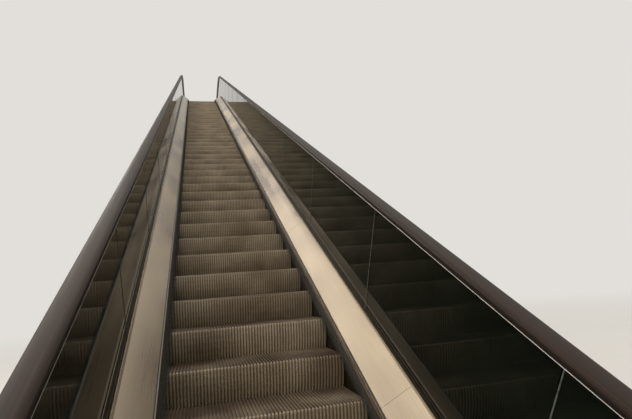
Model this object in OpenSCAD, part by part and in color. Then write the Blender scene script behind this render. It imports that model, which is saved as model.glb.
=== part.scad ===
// Escalator, full size, in millimetres. X runs across, Y runs up the slope, Z is up.
// The origin is the middle of the flat underside of the lower bearing bracket.

/* [Run] */
// Slope of the run in degrees
incline = 27.3; // [26:0.1:30]
// Height from the lower floor to the upper floor
rise = 9240; // [7600:20:10000]
// Radius of the lower bend of the step band
low_bend_r = 2000; // [1600:50:2400]
// Radius of the upper bend of the step band
top_bend_r = 2700; // [2200:50:3000]
// Radius of both bends of the return run
return_bend_r = 8000; // [7600:50:8200]
// Level run of steps from each comb to its bend
flat_run = 1200; // [1000:50:1500]

/* [Steps] */
// Distance from one step nose to the next along the chain
step_pitch = 400; // [396:1:406]
// Width of a step
step_w = 1000; // [900:10:1060]
// Gap between the back of a tread and the next riser
tread_gap = 6; // [5:0.5:8]
// Depth of a riser below its tread
riser_h = 200; // [190:1:206]
// Number of cleats across a step
cleat_count = 13; // [9:1:15]
// Width of one groove between cleats
groove_w = 34; // [28:1:40]
// Depth of the grooves
groove_d = 10; // [8:1:12]
// Thickness of the tread and riser plates under the grooves
step_plate_t = 12; // [9:1:14]
// Thickness of a step's two side frames
yoke_t = 18; // [12:1:24]
// Distance from a step's nose back to its chain axle
axle_back = 330; // [326:1:336]
// Distance from the tread down to the chain axle
axle_drop = 115; // [112:1:120]
// Distance from a step's nose back to its trailing roller
trail_back = 95; // [90:1:100]
// Distance from the tread down to the trailing roller
trail_drop = 258; // [255:1:262]

/* [Chain] */
// Outer diameter of the rollers
roller_d = 76; // [70:1:78]
// Width of a chain roller
roller_w = 28; // [20:1:32]
// Width of a trailing roller
trail_w = 26; // [20:1:28]
// Diameter of the step axles
axle_d = 30; // [24:1:34]
// Height of a chain link
chain_h = 46; // [36:1:50]
// Width of a chain across its plates
chain_w = 20; // [14:1:26]
// Steps that fit half way round a chain wheel
half_turn_steps = 3; // [3:1:3]
// Diameter of the chain wheel shafts
wheel_shaft_d = 100; // [80:5:120]
// Thickness of the running rails
rail_t = 6; // [5:0.5:7]

/* [Balustrade] */
// Height of the handrail's top above the step noses
handrail_h = 985; // [940:5:1040]
// Width of the handrail
handrail_w = 80; // [76:1:86]
// Thickness of the handrail
handrail_t = 30; // [27:1:32]
// Thickness of the glass
glass_t = 12; // [8:1:14]
// Length of one glass pane along the slope
pane_len = 1400; // [1100:50:2000]
// Gap between two glass panes
pane_gap = 4; // [2:0.5:6]
// Radius of the handrail's turn at each newel
newel_r = 430; // [425:1:435]
// Reach of the handrail past each comb
newel_reach = 760; // [700:10:820]
// Gap between a step's end and the skirt panel
skirt_gap = 4; // [3:0.5:5]
// Thickness of the skirt panels
skirt_t = 3; // [2:0.5:4]
// Height of the skirt's top above the step noses
skirt_top = 76; // [70:1:80]
// Reach of the brush strip over the steps
brush_reach = 44; // [36:1:50]
// Width of the inner deck
deck_w = 140; // [120:5:160]
// Rise of the inner deck from the skirt to the glass
deck_rise = 102; // [80:2:110]
// Thickness of the deck sheets
deck_t = 3; // [2:0.5:4]
// Longest deck or skirt sheet
sheet_len = 2600; // [2000:50:3000]
// Joint between two sheets
sheet_joint = 2; // [1:0.5:4]
// Width of the outer deck
outer_deck_w = 96; // [80:2:120]

/* [Truss] */
// Depth of the truss below the treads at the landings
truss_depth = 1350; // [1330:10:1400]
// Height of the truss chords
chord_h = 110; // [90:5:120]
// Thickness of the truss sides
truss_t = 70; // [60:5:80]
// Width of the posts and diagonals
post_w = 70; // [60:5:90]
// Largest spacing of the posts
bay = 1400; // [1200:50:1800]
// Height and width of the cross beams
beam_h = 80; // [70:5:90]
// Thickness of the closing plates under the truss
soffit_t = 4; // [3:0.5:6]
// Thickness of the bearing brackets
bearing_t = 20; // [16:1:30]
// Seat of each bearing bracket on the building
bearing_seat = 140; // [120:5:180]
// Height of the treads above the underside of the lower bearing
tread_z = 130; // [120:5:150]

/* [Landings] */
// Distance from the lower chain wheel to the lower comb
low_pit = 600; // [590:5:620]
// Least distance from the upper comb to the upper chain wheel
top_pit = 900; // [900:10:1100]
// Distance from a chain wheel to the truss end below
low_head = 680; // [670:5:690]
// Distance from the upper chain wheel to the truss end
top_head = 1300; // [1200:10:1500]
// Length of the comb plates
comb_len = 350; // [300:10:400]
// Length of the comb teeth
tooth_len = 130; // [110:5:150]
// Thickness of the floor plates
floor_t = 16; // [14:1:20]
// Gap between the treads and the plates above them
floor_gap = 4; // [3:0.5:6]

/* [Hidden] */
$fn = 96;
right = 1;
left = -1;

// Lengths along the run. The work points are where the straight lines of the step noses meet.
low_tangent = low_bend_r * tan(incline / 2);
top_tangent = top_bend_r * tan(incline / 2);
return_tangent = return_bend_r * tan(incline / 2);
slope_len = rise / sin(incline);
slope_run = rise / tan(incline);
bend_saving = 2 * tan(incline / 2) - incline * PI / 180;
wheel_r = half_turn_steps * step_pitch / PI;
low_arm = low_pit + flat_run + low_tangent + axle_back;
top_arm_least = top_pit + flat_run + top_tangent - axle_back;
line_len = low_arm + slope_len + top_arm_least;
saved = (low_bend_r + top_bend_r + 2 * return_bend_r) * bend_saving;
return_steps = ceil((2 * line_len - saved) / step_pitch);
loop_steps = return_steps + 2 * half_turn_steps;
top_arm = top_arm_least + (return_steps * step_pitch - (2 * line_len - saved)) / 2;

// Places of the work points, the chain wheels, the combs and the truss ends
low_wheel_y = bearing_seat / 2 + bearing_t + low_head;
low_comb_y = low_wheel_y + low_pit;
work_low = [low_comb_y + flat_run + low_tangent, tread_z];
work_top = work_low + [slope_run, rise];
top_wheel_y = work_top.x + axle_back + top_arm;
top_comb_y = work_top.x + top_tangent + flat_run;
truss_y0 = bearing_seat / 2 + bearing_t;
truss_y1 = top_wheel_y + top_head;
top_z = tread_z + rise;

// Widths from the middle of the step
half_step = step_w / 2;
skirt_x = half_step + skirt_gap;
roller_x = skirt_x + skirt_t + 5;
chain_x = roller_x + roller_w + 2;
yoke_x = half_step - 73;
trail_x = yoke_x + yoke_t;
deck_x = skirt_x + skirt_t;
glass_x = deck_x + deck_w + 37;
truss_x = glass_x + 36;
outer_x = truss_x + truss_t;
deck_z = skirt_top + 10;

// Ends of the balustrade, and the handrail's turn and dive at each end
newel_low_y = low_comb_y - newel_reach;
newel_top_y = top_comb_y + newel_reach;
newel_c = newel_r - handrail_t / 2;
rail_z = handrail_h - handrail_t / 2;
entry_z = rail_z - 2 * newel_c;
hidden_z = 36;
dive_r = 400;
dive_len = 480;
inlet_t = 40;
deck_low_y = newel_low_y + newel_r + inlet_t;
deck_top_y = newel_top_y - newel_r - inlet_t;
clamp_low_y = newel_low_y + newel_r + dive_len + 60;
clamp_top_y = newel_top_y - newel_r - dive_len - 60;

// Height of the nose line at y past the lower work point, for given bend radii
function nose_z(y, low_r, top_r) =
    let (t1 = low_r * tan(incline / 2), t2 = top_r * tan(incline / 2))
    y <= -t1 ? 0
    : y < t1 * cos(incline) ? low_r - sqrt(low_r * low_r - pow(y + t1, 2))
    : y <= slope_run - t2 * cos(incline) ? y * tan(incline)
    : y < slope_run + t2 ? rise - top_r + sqrt(top_r * top_r - pow(slope_run + t2 - y, 2))
    : rise;

// A line is [shift along Y, shift along Z, offset square to the nose line]
function line_z(y, line) =
    nose_z(y - work_low.x - line[0] + line[2] * tan(incline / 2), low_bend_r - line[2],
        top_bend_r + line[2]) + line[1] + line[2] + tread_z;

// Slope of the run at y, in degrees
function slope_at(y) =
    let (a = y - work_low.x, b = work_top.x - y)
    a < 0 || b < 0 ? 0 : incline;

// Places along y where a line bends, between y0 and y1
bend_cuts = 20;
function bend_ys(y0, y1, line) =
    let (
        r1 = low_bend_r - line[2],
        r2 = top_bend_r + line[2],
        c1 = work_low.x + line[0] - line[2] * tan(incline / 2) - r1 * tan(incline / 2),
        c2 = work_top.x + line[0] - line[2] * tan(incline / 2) + r2 * tan(incline / 2),
        all = concat(
            [for (i = [0:bend_cuts]) c1 + r1 * sin(incline * i / bend_cuts)],
            [for (i = [bend_cuts:-1:0]) c2 - r2 * sin(incline * i / bend_cuts)])
    )
    concat([y0], [for (y = all) if (y > y0 + 1 && y < y1 - 1) y], [y1]);

function edge(y0, y1, line) = [for (y = bend_ys(y0, y1, line)) [y, line_z(y, line)]];
function back(points) = [for (i = [len(points) - 1:-1:0]) points[i]];

// Outline between two lines; the ends may slant
function band(low_span, low_line, high_span, high_line) =
    concat(edge(low_span[0], low_span[1], low_line), back(edge(high_span[0], high_span[1], high_line)));

// A plate that stands along the run, from x0 to x1
module upright(x0, x1) {
    translate([x0, 0, 0]) rotate([90, 0, 90]) linear_extrude(x1 - x0) children();
}

// Turning of a path at its point i, and how far each bend reaches along its sides
function ang(p, q) = atan2(q[1] - p[1], q[0] - p[0]);
function wrap(a) = a > 180 ? a - 360 : a <= -180 ? a + 360 : a;
function turn(p, i) = let (n = len(p)) wrap(ang(p[i], p[(i + 1) % n]) - ang(p[(i + n - 1) % n], p[i]));
function reach(p, i) = p[i][2] * tan(abs(turn(p, i)) / 2);
function point(p, d, a) = [p[0] + d * cos(a), p[1] + d * sin(a)];
function gap_len(p, q) = norm([q[0] - p[0], q[1] - p[1]]);

// A profile carried along straight a length that starts at p and runs at angle a.
// The profile's X is the real X, and its Y points to the left of the way.
module straight(p, a, length) {
    translate([0, p[0] + length * cos(a), p[1] + length * sin(a)])
        rotate([a + 90, 0, 0]) linear_extrude(length) children();
}

// A profile carried round a bend of radius r about the centre c, from polar angle a over sweep
module bend(c, r, a, sweep, inward) {
    translate([0, c[0], c[1]]) rotate([90, 0, 90]) rotate(a)
        rotate_extrude(angle = sweep) translate([r, 0])
            if (inward) rotate(90) children(); else mirror([1, -1]) children();
}

// A profile carried along a path of points [y, z, bend radius], in lengths that lie a fine seam apart
seam = 0.3;
seat_gap = 0.3;
module sweep(path, closed = false, joint = seam, longest = 1e6) {
    n = len(path);
    for (i = [0:n - (closed ? 1 : 2)]) {
        q = path[(i + 1) % n];
        a = ang(path[i], q);
        r0 = (i == 0 && !closed) ? 0 : reach(path, i);
        r1 = (i == n - 2 && !closed) ? 0 : reach(path, (i + 1) % n);
        length = gap_len(path[i], q) - r0 - r1;
        pieces = max(1, ceil(length / longest));
        if (length > 1)
            for (k = [0:pieces - 1])
                straight(point(path[i], r0 + k * length / pieces + joint / 2, a), a,
                    length / pieces - joint)
                    children();
    }
    for (i = [closed ? 0 : 1:n - (closed ? 1 : 2)]) {
        t = turn(path, i);
        r = path[i][2];
        a = ang(path[(i + n - 1) % n], path[i]);
        start = point(path[i], -reach(path, i), a);
        centre = point(start, t > 0 ? r : -r, a + 90);
        cut = joint / 2 / r * 180 / PI;
        if (abs(t) > 0.1)
            bend(centre, r, (t > 0 ? a - 90 : a + 90 + t) + cut, abs(t) - 2 * cut, t > 0) children();
    }
}

// The run between y0 and y1 as a path, raised by dz and moved back by dy
function run_path(y0, y1, dy, dz, low_r, top_r) = [
    [y0, tread_z + dz, 0],
    [work_low.x + dy, tread_z + dz, low_r],
    [work_top.x + dy, top_z + dz, top_r],
    [y1, top_z + dz, 0],
];

module both(side) {
    if (side == right) children(); else mirror([1, 0, 0]) children();
}

// One place on the chain loop: [y, z, turn of the step], for a length s along the loop
low_flat = low_arm - low_tangent;
low_bend_len = low_bend_r * incline * PI / 180;
straight_len = slope_len - low_tangent - top_tangent;
top_bend_len = top_bend_r * incline * PI / 180;
top_flat = top_arm - top_tangent;
up_len = low_flat + low_bend_len + straight_len + top_bend_len + top_flat;
half_turn_len = half_turn_steps * step_pitch;
return_straight = slope_len - 2 * return_tangent;
axle_z = tread_z - axle_drop;
function on_run(s, flat1, r1, mid, r2, tangent1, tangent2) =
    let (b1 = r1 * incline * PI / 180, b2 = r2 * incline * PI / 180)
    s < flat1 ? [s - flat1 - tangent1, 0, 0]
    : s < flat1 + b1 ? let (a = (s - flat1) / r1 * 180 / PI) [r1 * sin(a) - tangent1, r1 - r1 * cos(a), a]
    : s < flat1 + b1 + mid ? let (d = s - flat1 - b1 + tangent1)
        [d * cos(incline), d * sin(incline), incline]
    : s < flat1 + b1 + mid + b2 ? let (a = incline - (s - flat1 - b1 - mid) / r2 * 180 / PI)
        [slope_run + tangent2 - r2 * sin(a), rise - r2 + r2 * cos(a), a]
    : [slope_run + tangent2 + s - (flat1 + b1 + mid + b2), rise, 0];
function return_place(s) = on_run(s, low_arm - return_tangent, return_bend_r, return_straight,
    return_bend_r, return_tangent, return_tangent);
return_len = low_arm + top_arm + slope_len - 2 * return_bend_r * bend_saving;
half_base = (axle_back - trail_back) / 2;
// Turn of a step whose axle is at angle a round a wheel: its trailing roller runs straight on at first
trail_arm = norm([axle_back - trail_back, trail_drop - axle_drop]);
trail_angle = atan((trail_drop - axle_drop) / (axle_back - trail_back));
function wheel_turn(a) = a >= 90 ? a
    : min(a + 2, trail_angle + asin((wheel_r * (1 - cos(a)) - trail_drop + axle_drop) / trail_arm));
axle_work_y = work_low.x + axle_back;
function loop_place(s) =
    s < up_len ? let (p = on_run(s, low_flat, low_bend_r, straight_len, top_bend_r, low_tangent,
        top_tangent)) [p[0] + axle_work_y, p[1] + axle_z, 0]
    : s < up_len + half_turn_len ? let (a = (s - up_len) / wheel_r * 180 / PI)
        [top_wheel_y + wheel_r * sin(a), top_z - axle_drop - wheel_r + wheel_r * cos(a), -wheel_turn(a)]
    : s < up_len + half_turn_len + return_len ? let (
            p = return_place(up_len + half_turn_len + return_len - s),
            q = return_place(up_len + half_turn_len + return_len - s + half_base))
        [p[0] + axle_work_y, p[1] + axle_z - 2 * wheel_r, 180 + q[2]]
    : let (a = (s - up_len - half_turn_len - return_len) / wheel_r * 180 / PI)
        [low_wheel_y - wheel_r * sin(a), axle_z - wheel_r - wheel_r * cos(a), 180 - wheel_turn(a)];
// A step's axle stands on top of the upper wheel
first_axle = up_len - floor(up_len / step_pitch) * step_pitch;
function step_place(i) = loop_place(first_axle + i * step_pitch);
up_steps = round((up_len - first_axle) / step_pitch) + 1;

// Puts a step's own frame, whose origin is its nose, at place i on the loop
module at_place(i) {
    p = step_place(i);
    translate([0, p[0], p[1]]) rotate([p[2], 0, 0]) translate([0, -axle_back, axle_drop]) children();
}

// Side view of a step's tread and curved riser, cut in by d from its outer faces
tread_len = step_pitch - tread_gap;
plate_d = groove_d + step_plate_t;
module step_side(d) {
    intersection() {
        translate([step_pitch, 0]) circle(step_pitch - d);
        difference() {
            translate([0, -riser_h]) square([tread_len, riser_h - d]);
            intersection() {
                translate([step_pitch, 0]) circle(step_pitch - plate_d);
                translate([0, -riser_h - 1]) square([tread_len + 1, riser_h + 1 - plate_d]);
            }
        }
    }
}

// Side view of the frame under a step, which sits on the chain axle and carries the trailing roller
function riser_y(z) = step_pitch - sqrt(step_pitch * step_pitch - z * z) + groove_d + step_plate_t / 2;
module yoke_side() {
    saddle_z = -axle_drop + axle_d / 2 + seat_gap;
    polygon([
        [riser_y(plate_d), -plate_d], [tread_len - 10, -plate_d], [axle_back + 14, saddle_z],
        [axle_back - 20, saddle_z], [trail_back + 26, -trail_drop - 6], [trail_back - 18, -trail_drop - 6],
        [riser_y(riser_h), -riser_h], [riser_y(0.6 * riser_h), -0.6 * riser_h],
    ]);
}

cleat_w = (step_w - (cleat_count - 1) * groove_w) / cleat_count;
function cleat_x(i) = -half_step + i * (cleat_w + groove_w);
module step_body() {
    upright(-half_step, half_step) step_side(groove_d);
    for (i = [0:cleat_count - 1]) upright(cleat_x(i), cleat_x(i) + cleat_w) step_side(0);
    for (side = [left, right]) both(side) upright(yoke_x, yoke_x + yoke_t) yoke_side();
}
module plain_step_body() {
    upright(-half_step, half_step) step_side(0);
    for (side = [left, right]) both(side) upright(yoke_x, yoke_x + yoke_t) yoke_side();
}
module steps(from, to) {
    color("dimgray") for (i = [from:to]) at_place(i) step_body();
}
share = floor((up_steps - 8) / 3);
module steps_lower() { steps(0, 3); }
module steps_run_1() { steps(4, 3 + share); }
module steps_run_2() { steps(4 + share, 3 + 2 * share); }
module steps_run_3() { steps(4 + 2 * share, up_steps - 5); }
module steps_upper() { steps(up_steps - 4, up_steps - 1); }
module steps_return() {
    color("dimgray") for (i = [up_steps:loop_steps - 1]) at_place(i) plain_step_body();
}

// An axle with its two chain rollers, turned as one piece
module step_axles() {
    end = chain_x;
    color("silver") for (i = [0:loop_steps - 1]) at_place(i)
        translate([0, axle_back, -axle_drop]) rotate([0, 90, 0]) {
            translate([0, 0, -end]) cylinder(h = 2 * end, d = axle_d);
            for (side = [left, right]) translate([0, 0, side * (roller_x + roller_w / 2) - roller_w / 2])
                cylinder(h = roller_w, d = roller_d);
        }
}
module trailing_rollers() {
    color("black") for (i = [0:loop_steps - 1]) at_place(i)
        for (side = [left, right]) translate([side * (trail_x + trail_w / 2) - trail_w / 2, trail_back,
            -trail_drop]) rotate([0, 90, 0]) cylinder(h = trail_w, d = roller_d);
}

// The chain is one fixed loop round both wheels
function chain_path() = [
    [low_wheel_y - wheel_r, axle_z, wheel_r],
    [low_wheel_y - wheel_r, axle_z - 2 * wheel_r, wheel_r],
    [axle_work_y, axle_z - 2 * wheel_r, return_bend_r],
    [axle_work_y + slope_run, axle_z + rise - 2 * wheel_r, return_bend_r],
    [top_wheel_y + wheel_r, axle_z + rise - 2 * wheel_r, wheel_r],
    [top_wheel_y + wheel_r, axle_z + rise, wheel_r],
    [axle_work_y + slope_run, axle_z + rise, top_bend_r],
    [axle_work_y, axle_z, low_bend_r],
];
module chain() {
    color("dimgray") sweep(chain_path(), closed = true)
        translate([chain_x, -chain_h / 2]) square([chain_w, chain_h]);
}
module chain_left() { both(left) chain(); }
module chain_right() { both(right) chain(); }

// Running rails under the chain rollers and the trailing rollers, on the way up and back
rail_end = 120;
return_trail_n = trail_drop - axle_drop;
rail_under = -roller_d / 2 - seat_gap - rail_t;
module running_rails() {
    color("gainsboro") for (side = [left, right]) both(side) {
        sweep(run_path(low_wheel_y + rail_end, top_wheel_y - rail_end, axle_back, -axle_drop, low_bend_r,
            top_bend_r))
            translate([roller_x, rail_under]) square([roller_w, rail_t]);
        sweep(run_path(low_wheel_y + rail_end, top_wheel_y - rail_end - 300, trail_back, -trail_drop,
            low_bend_r, top_bend_r))
            translate([trail_x, rail_under]) square([trail_w + 2, rail_t]);
        sweep(run_path(low_wheel_y + rail_end, top_wheel_y - rail_end, axle_back, -axle_drop - 2 * wheel_r,
            return_bend_r, return_bend_r)) {
            translate([roller_x, rail_under]) square([roller_w, rail_t]);
            translate([trail_x, return_trail_n + rail_under]) square([trail_w + 2, rail_t]);
        }
    }
}

// Truss sides: chords, posts and diagonals in one plane, each member a piece of its own
top_chord_line = [0, -70, 0];
low_chord_dy = 312;
low_chord_line = [low_chord_dy, -truss_depth + chord_h, 0];
function chord_z(y, line) = y < work_low.x + line[0] ? tread_z + line[1]
    : y > work_top.x + line[0] ? top_z + line[1]
    : tread_z + line[1] + (y - work_low.x - line[0]) * tan(incline);
function chord_edge(y0, y1, line) = concat([[y0, chord_z(y0, line)]],
    [for (w = [work_low.x, work_top.x]) let (y = w + line[0]) if (y > y0 && y < y1) [y, chord_z(y, line)]],
    [[y1, chord_z(y1, line)]]);
module bar(p, q, w) {
    a = ang(p, q);
    translate([p[0], p[1]]) rotate(a) translate([0, -w / 2]) square([gap_len(p, q), w]);
}
// Three sections, spliced near the bends; each is cut into equal bays between its end posts
splice = 0.4;
low_splice_y = work_low.x;
top_splice_y = work_top.x + low_chord_dy;
function section_posts(y0, y1) = let (a = y0 + post_w / 2, b = y1 - post_w / 2, n = ceil((b - a) / bay))
    [for (i = [0:n]) a + (b - a) * i / n];
sections = [
    section_posts(truss_y0, low_splice_y - splice / 2),
    section_posts(low_splice_y + splice / 2, top_splice_y - splice / 2),
    section_posts(top_splice_y + splice / 2, truss_y1),
];
posts = [for (part = sections, y = part) y];
function chord_cuts(line) = [
    for (y = [truss_y0, low_splice_y, work_low.x + line[0], work_top.x + line[0], top_splice_y, truss_y1])
        if (y <= low_splice_y || y > low_splice_y + splice) y];
function chord_spans(line) = let (cuts = chord_cuts(line))
    [for (i = [0:len(cuts) - 2]) if (cuts[i + 1] > cuts[i] + splice)
        [cuts[i] + (i > 0 ? splice / 2 : 0), cuts[i + 1] - (i < len(cuts) - 2 ? splice / 2 : 0)]];
module truss_chords() {
    color("slategray") for (side = [left, right], line = [top_chord_line, low_chord_line],
        span = chord_spans(line)) both(side) upright(truss_x, outer_x)
            polygon(concat(chord_edge(span[0], span[1], line),
                back(chord_edge(span[0], span[1], line - [0, chord_h, 0]))));
}
module between_chords(y0, y1) {
    polygon(concat(chord_edge(y0, y1, low_chord_line),
        back(chord_edge(y0, y1, top_chord_line - [0, chord_h, 0]))));
}
module truss_posts() {
    color("slategray") for (side = [left, right], y = posts) both(side) upright(truss_x, outer_x)
        between_chords(y - post_w / 2, y + post_w / 2);
}
module truss_diagonals() {
    color("slategray") for (side = [left, right], part = sections, i = [0:len(part) - 2]) both(side)
        upright(truss_x, outer_x) intersection() {
            between_chords(part[i] + post_w / 2, part[i + 1] - post_w / 2);
            bar([part[i], chord_z(part[i], low_chord_line) - chord_h / 2],
                [part[i + 1], chord_z(part[i + 1], top_chord_line) - chord_h / 2], post_w * 0.8);
        }
}

// Cross beams between the sides, at the posts: one between the two runs of steps, one below
mid_line = [200, -500, 0];
wheel_room = wheel_r + 28;
beam_posts = [for (y = posts) if (y > low_wheel_y + wheel_room && y < top_wheel_y - wheel_room
    && (y < work_low.x - low_tangent - 60 || y > work_low.x + 1400)
    && abs(y - work_top.x - axle_back) > top_tangent + 200) y];
low_beam_z = -0.8 * chord_h;
low_beam_top = top_z + low_chord_line[1] + low_beam_z + 0.5 * chord_h;
module beam_at(y) {
    a = slope_at(y - mid_line[0]);
    translate([0, y, chord_z(y, mid_line)]) rotate([a, 0, 0]) children();
}
module truss_beams() {
    color("slategray") {
        for (y = beam_posts) beam_at(y)
            translate([-truss_x, -beam_h / 2, -beam_h / 2]) cube([2 * truss_x, beam_h, beam_h]);
        for (y = posts) translate([-truss_x, y - post_w / 2, chord_z(y, low_chord_line) + low_beam_z])
            cube([2 * truss_x, post_w, 0.5 * chord_h]);
    }
}

// Brackets that hold the rails on the cross beams, drawn square to the run
bracket_t = 12;
function seat_n(dy, dz, a) = (mid_line[0] - dy) * sin(a) + (dz - mid_line[1]) * cos(a) + rail_under;
module rail_brackets() {
    color("slategray") for (y = beam_posts, side = [left, right]) {
        a = slope_at(y - mid_line[0]);
        up = seat_n(axle_back, -axle_drop, a);
        trail = seat_n(trail_back, -trail_drop, a);
        down = seat_n(axle_back, -axle_drop - 2 * wheel_r, a);
        trail_down = down + return_trail_n;
        hung = abs(y - axle_work_y) > return_tangent && abs(y - axle_work_y - slope_run) > return_tangent;
        both(side) beam_at(y) translate([0, bracket_t / 2, 0]) rotate([90, 0, 0]) linear_extrude(bracket_t) {
            polygon([[trail_x, beam_h / 2], [roller_x + roller_w, beam_h / 2], [roller_x + roller_w, up],
                [roller_x, up], [roller_x, up - 30], [trail_x + trail_w + 8, trail - 12],
                [trail_x + trail_w + 2, trail], [trail_x, trail]]);
            if (hung) polygon([[chain_x + chain_w + 8, -beam_h / 2], [chain_x + chain_w + 38, -beam_h / 2],
                [chain_x + chain_w + 38, down - 24], [roller_x, down - 24], [roller_x, down],
                [chain_x + chain_w + 8, down]]);
            if (hung) polygon([[trail_x + trail_w + 6, -beam_h / 2], [trail_x + trail_w + 26, -beam_h / 2],
                [trail_x + trail_w + 26, trail_down - 8], [trail_x, trail_down - 8],
                [trail_x, trail_down], [trail_x + trail_w + 6, trail_down]]);
        }
    }
}

// Closing plates under the truss, one for each of its straight stretches
soffit_ys = [truss_y0, work_low.x + low_chord_dy, work_top.x + low_chord_dy, truss_y1];
module truss_soffit() {
    bottom = low_chord_line - [0, chord_h, 0];
    below = bottom - [0, soffit_t, 0];
    color("lightslategray") upright(-outer_x, outer_x) for (i = [0:2]) {
        y0 = soffit_ys[i] + splice;
        y1 = soffit_ys[i + 1] - splice;
        polygon([[y0, chord_z(y0, bottom)], [y1, chord_z(y1, bottom)], [y1, chord_z(y1, below)],
            [y0, chord_z(y0, below)]]);
    }
}

// Bearing brackets at the two ends of the truss
bearing_web = 300;
module bearing_side() {
    translate([-bearing_seat / 2, 0]) square([bearing_seat, bearing_t]);
    translate([bearing_seat / 2, bearing_t - bearing_web]) square([bearing_t, bearing_web]);
}
module bearing_brackets() {
    color("slategray") upright(-outer_x, outer_x) {
        bearing_side();
        translate([truss_y1 + bearing_t + bearing_seat / 2, rise]) mirror([1, 0]) bearing_side();
    }
}

// Chain wheels with their shafts, on stands between the truss chords
wheel_drop = axle_drop + wheel_r;
stand_z = low_beam_top - top_z + wheel_drop;
module wheel_set(y, z) {
    translate([0, y, z]) {
        rotate([0, 90, 0]) translate([0, 0, -truss_x + 60]) cylinder(h = 2 * truss_x - 120, d = wheel_shaft_d);
        for (side = [left, right]) both(side) {
            translate([chain_x, 0, 0]) rotate([0, 90, 0]) cylinder(h = chain_w, r = wheel_r - chain_h / 2 - seat_gap);
            translate([truss_x - 60, -wheel_shaft_d, stand_z])
                cube([60, 2 * wheel_shaft_d, wheel_drop + top_chord_line[1] - 30 - stand_z]);
        }
    }
}
module drive_wheels() { color("gray") wheel_set(top_wheel_y, top_z - axle_drop - wheel_r); }
module tension_wheels() { color("gray") wheel_set(low_wheel_y, axle_z - wheel_r); }

// Drive machine on a bed across the truss, past the upper chain wheels
machine_y = top_wheel_y + wheel_r + 500;
module drive_machine() {
    bed_z = low_beam_top;
    color("darkslategray") {
        translate([-truss_x, machine_y - 280, bed_z]) cube([2 * truss_x, 560, 60]);
        translate([-200, machine_y - 200, bed_z + 60]) cube([400, 400, 420]);
        translate([0, machine_y, bed_z + 480]) cylinder(h = 300, d = 300);
    }
}

// Floor plates over the landings, flush with the comb plates
floor_low_z = tread_z + floor_gap;
module floor_plate(y_end, y_comb, z, way) {
    y_back = y_comb - way * comb_len;
    y_deck = way > 0 ? deck_low_y : deck_top_y;
    edge_h = floor_gap - top_chord_line[1];
    translate([0, 0, z]) {
        difference() {
            union() {
                translate([-outer_x, min(y_end, y_deck), 0]) cube([2 * outer_x, abs(y_deck - y_end), floor_t]);
                translate([-skirt_x, min(y_deck, y_back), 0])
                    cube([2 * skirt_x, abs(y_deck - y_back), floor_t]);
            }
            translate([-skirt_x, min(y_back, y_comb), -1]) cube([2 * skirt_x, comb_len, floor_t + 2]);
        }
        for (x = [-outer_x, truss_x])
            translate([x, min(y_end, y_deck), -edge_h]) cube([truss_t, abs(y_deck - y_end), edge_h]);
    }
}
module floor_plate_lower() {
    color("gainsboro") floor_plate(truss_y0, low_comb_y, floor_low_z, 1);
}
module floor_plate_upper() {
    color("gainsboro") floor_plate(truss_y1, top_comb_y, floor_low_z + rise, -1);
}

comb_clear = 3;
// Comb plate: its teeth reach down into the grooves of the steps
module comb(way) {
    tip = -groove_d + 4 - floor_gap;
    turned = way > 0 ? [0, 0, 0] : [0, 0, 180];
    rotate(turned) {
        translate([-skirt_x, -comb_len, 0]) cube([2 * skirt_x, comb_len, floor_t]);
        for (i = [0:cleat_count - 2]) {
            x = cleat_x(i) + cleat_w + comb_clear;
            upright(x, x + groove_w - 2 * comb_clear) polygon([
                [-20, floor_t], [-20, 2], [0, 2], [tooth_len - 10, tip], [tooth_len, tip + 2],
                [tooth_len - 4, tip + 5], [0, floor_t],
            ]);
        }
    }
}
module comb_lower() { color("goldenrod") translate([0, low_comb_y, floor_low_z]) comb(1); }
module comb_upper() { color("goldenrod") translate([0, top_comb_y, floor_low_z + rise]) comb(-1); }

// Balustrade: everything from the skirt to the handrail, drawn for the right side
deck_path = run_path(deck_low_y, deck_top_y, 0, deck_z, low_bend_r, top_bend_r);
skirt_line_top = [0, skirt_top, 0];
skirt_line_low = [axle_back, -axle_drop + roller_d / 2 + 12, 0];
function cuts(y0, y1, longest) = let (n = ceil((y1 - y0) / longest)) [for (i = [0:n]) y0 + (y1 - y0) * i / n];
skirt_cuts = cuts(deck_low_y, deck_top_y, sheet_len);
module skirt() {
    color("#2a2420") for (i = [0:len(skirt_cuts) - 2]) {
        span = [skirt_cuts[i] + sheet_joint / 2, skirt_cuts[i + 1] - sheet_joint / 2];
        upright(skirt_x, skirt_x + skirt_t) polygon(band(span, skirt_line_low, span, skirt_line_top));
    }
}
module skirt_left() { both(left) skirt(); }
module skirt_right() { both(right) skirt(); }

// Brush strip: a holder on the skirt's face, with bristles that reach over the step ends
brush_path = run_path(low_comb_y + tooth_len, top_comb_y - tooth_len, 0, 0, low_bend_r, top_bend_r);
module brush() {
    color("#1c1a18") sweep(brush_path, joint = sheet_joint, longest = sheet_len)
        polygon([[skirt_x - brush_reach, 16], [skirt_x - 14, 40], [skirt_x - 14, 34], [skirt_x, 28],
            [skirt_x, 60], [skirt_x - 6, 60], [skirt_x - 20, 50], [skirt_x - brush_reach, 24]]);
}
module brush_left() { both(left) brush(); }
module brush_right() { both(right) brush(); }

// Inner deck: a folded sheet that slopes up from the skirt to the glass
module inner_deck() {
    x1 = deck_x + deck_w;
    color("#b8a890") sweep(deck_path, joint = sheet_joint, longest = sheet_len)
        polygon([[deck_x, -40], [deck_x, 0], [x1, deck_rise], [x1 + 10, deck_rise], [x1 + 10, deck_rise - deck_t],
            [x1 + 1, deck_rise - deck_t], [deck_x + deck_t, -deck_t], [deck_x + deck_t, -40]]);
}
module inner_deck_left() { both(left) inner_deck(); }
module inner_deck_right() { both(right) inner_deck(); }

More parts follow.
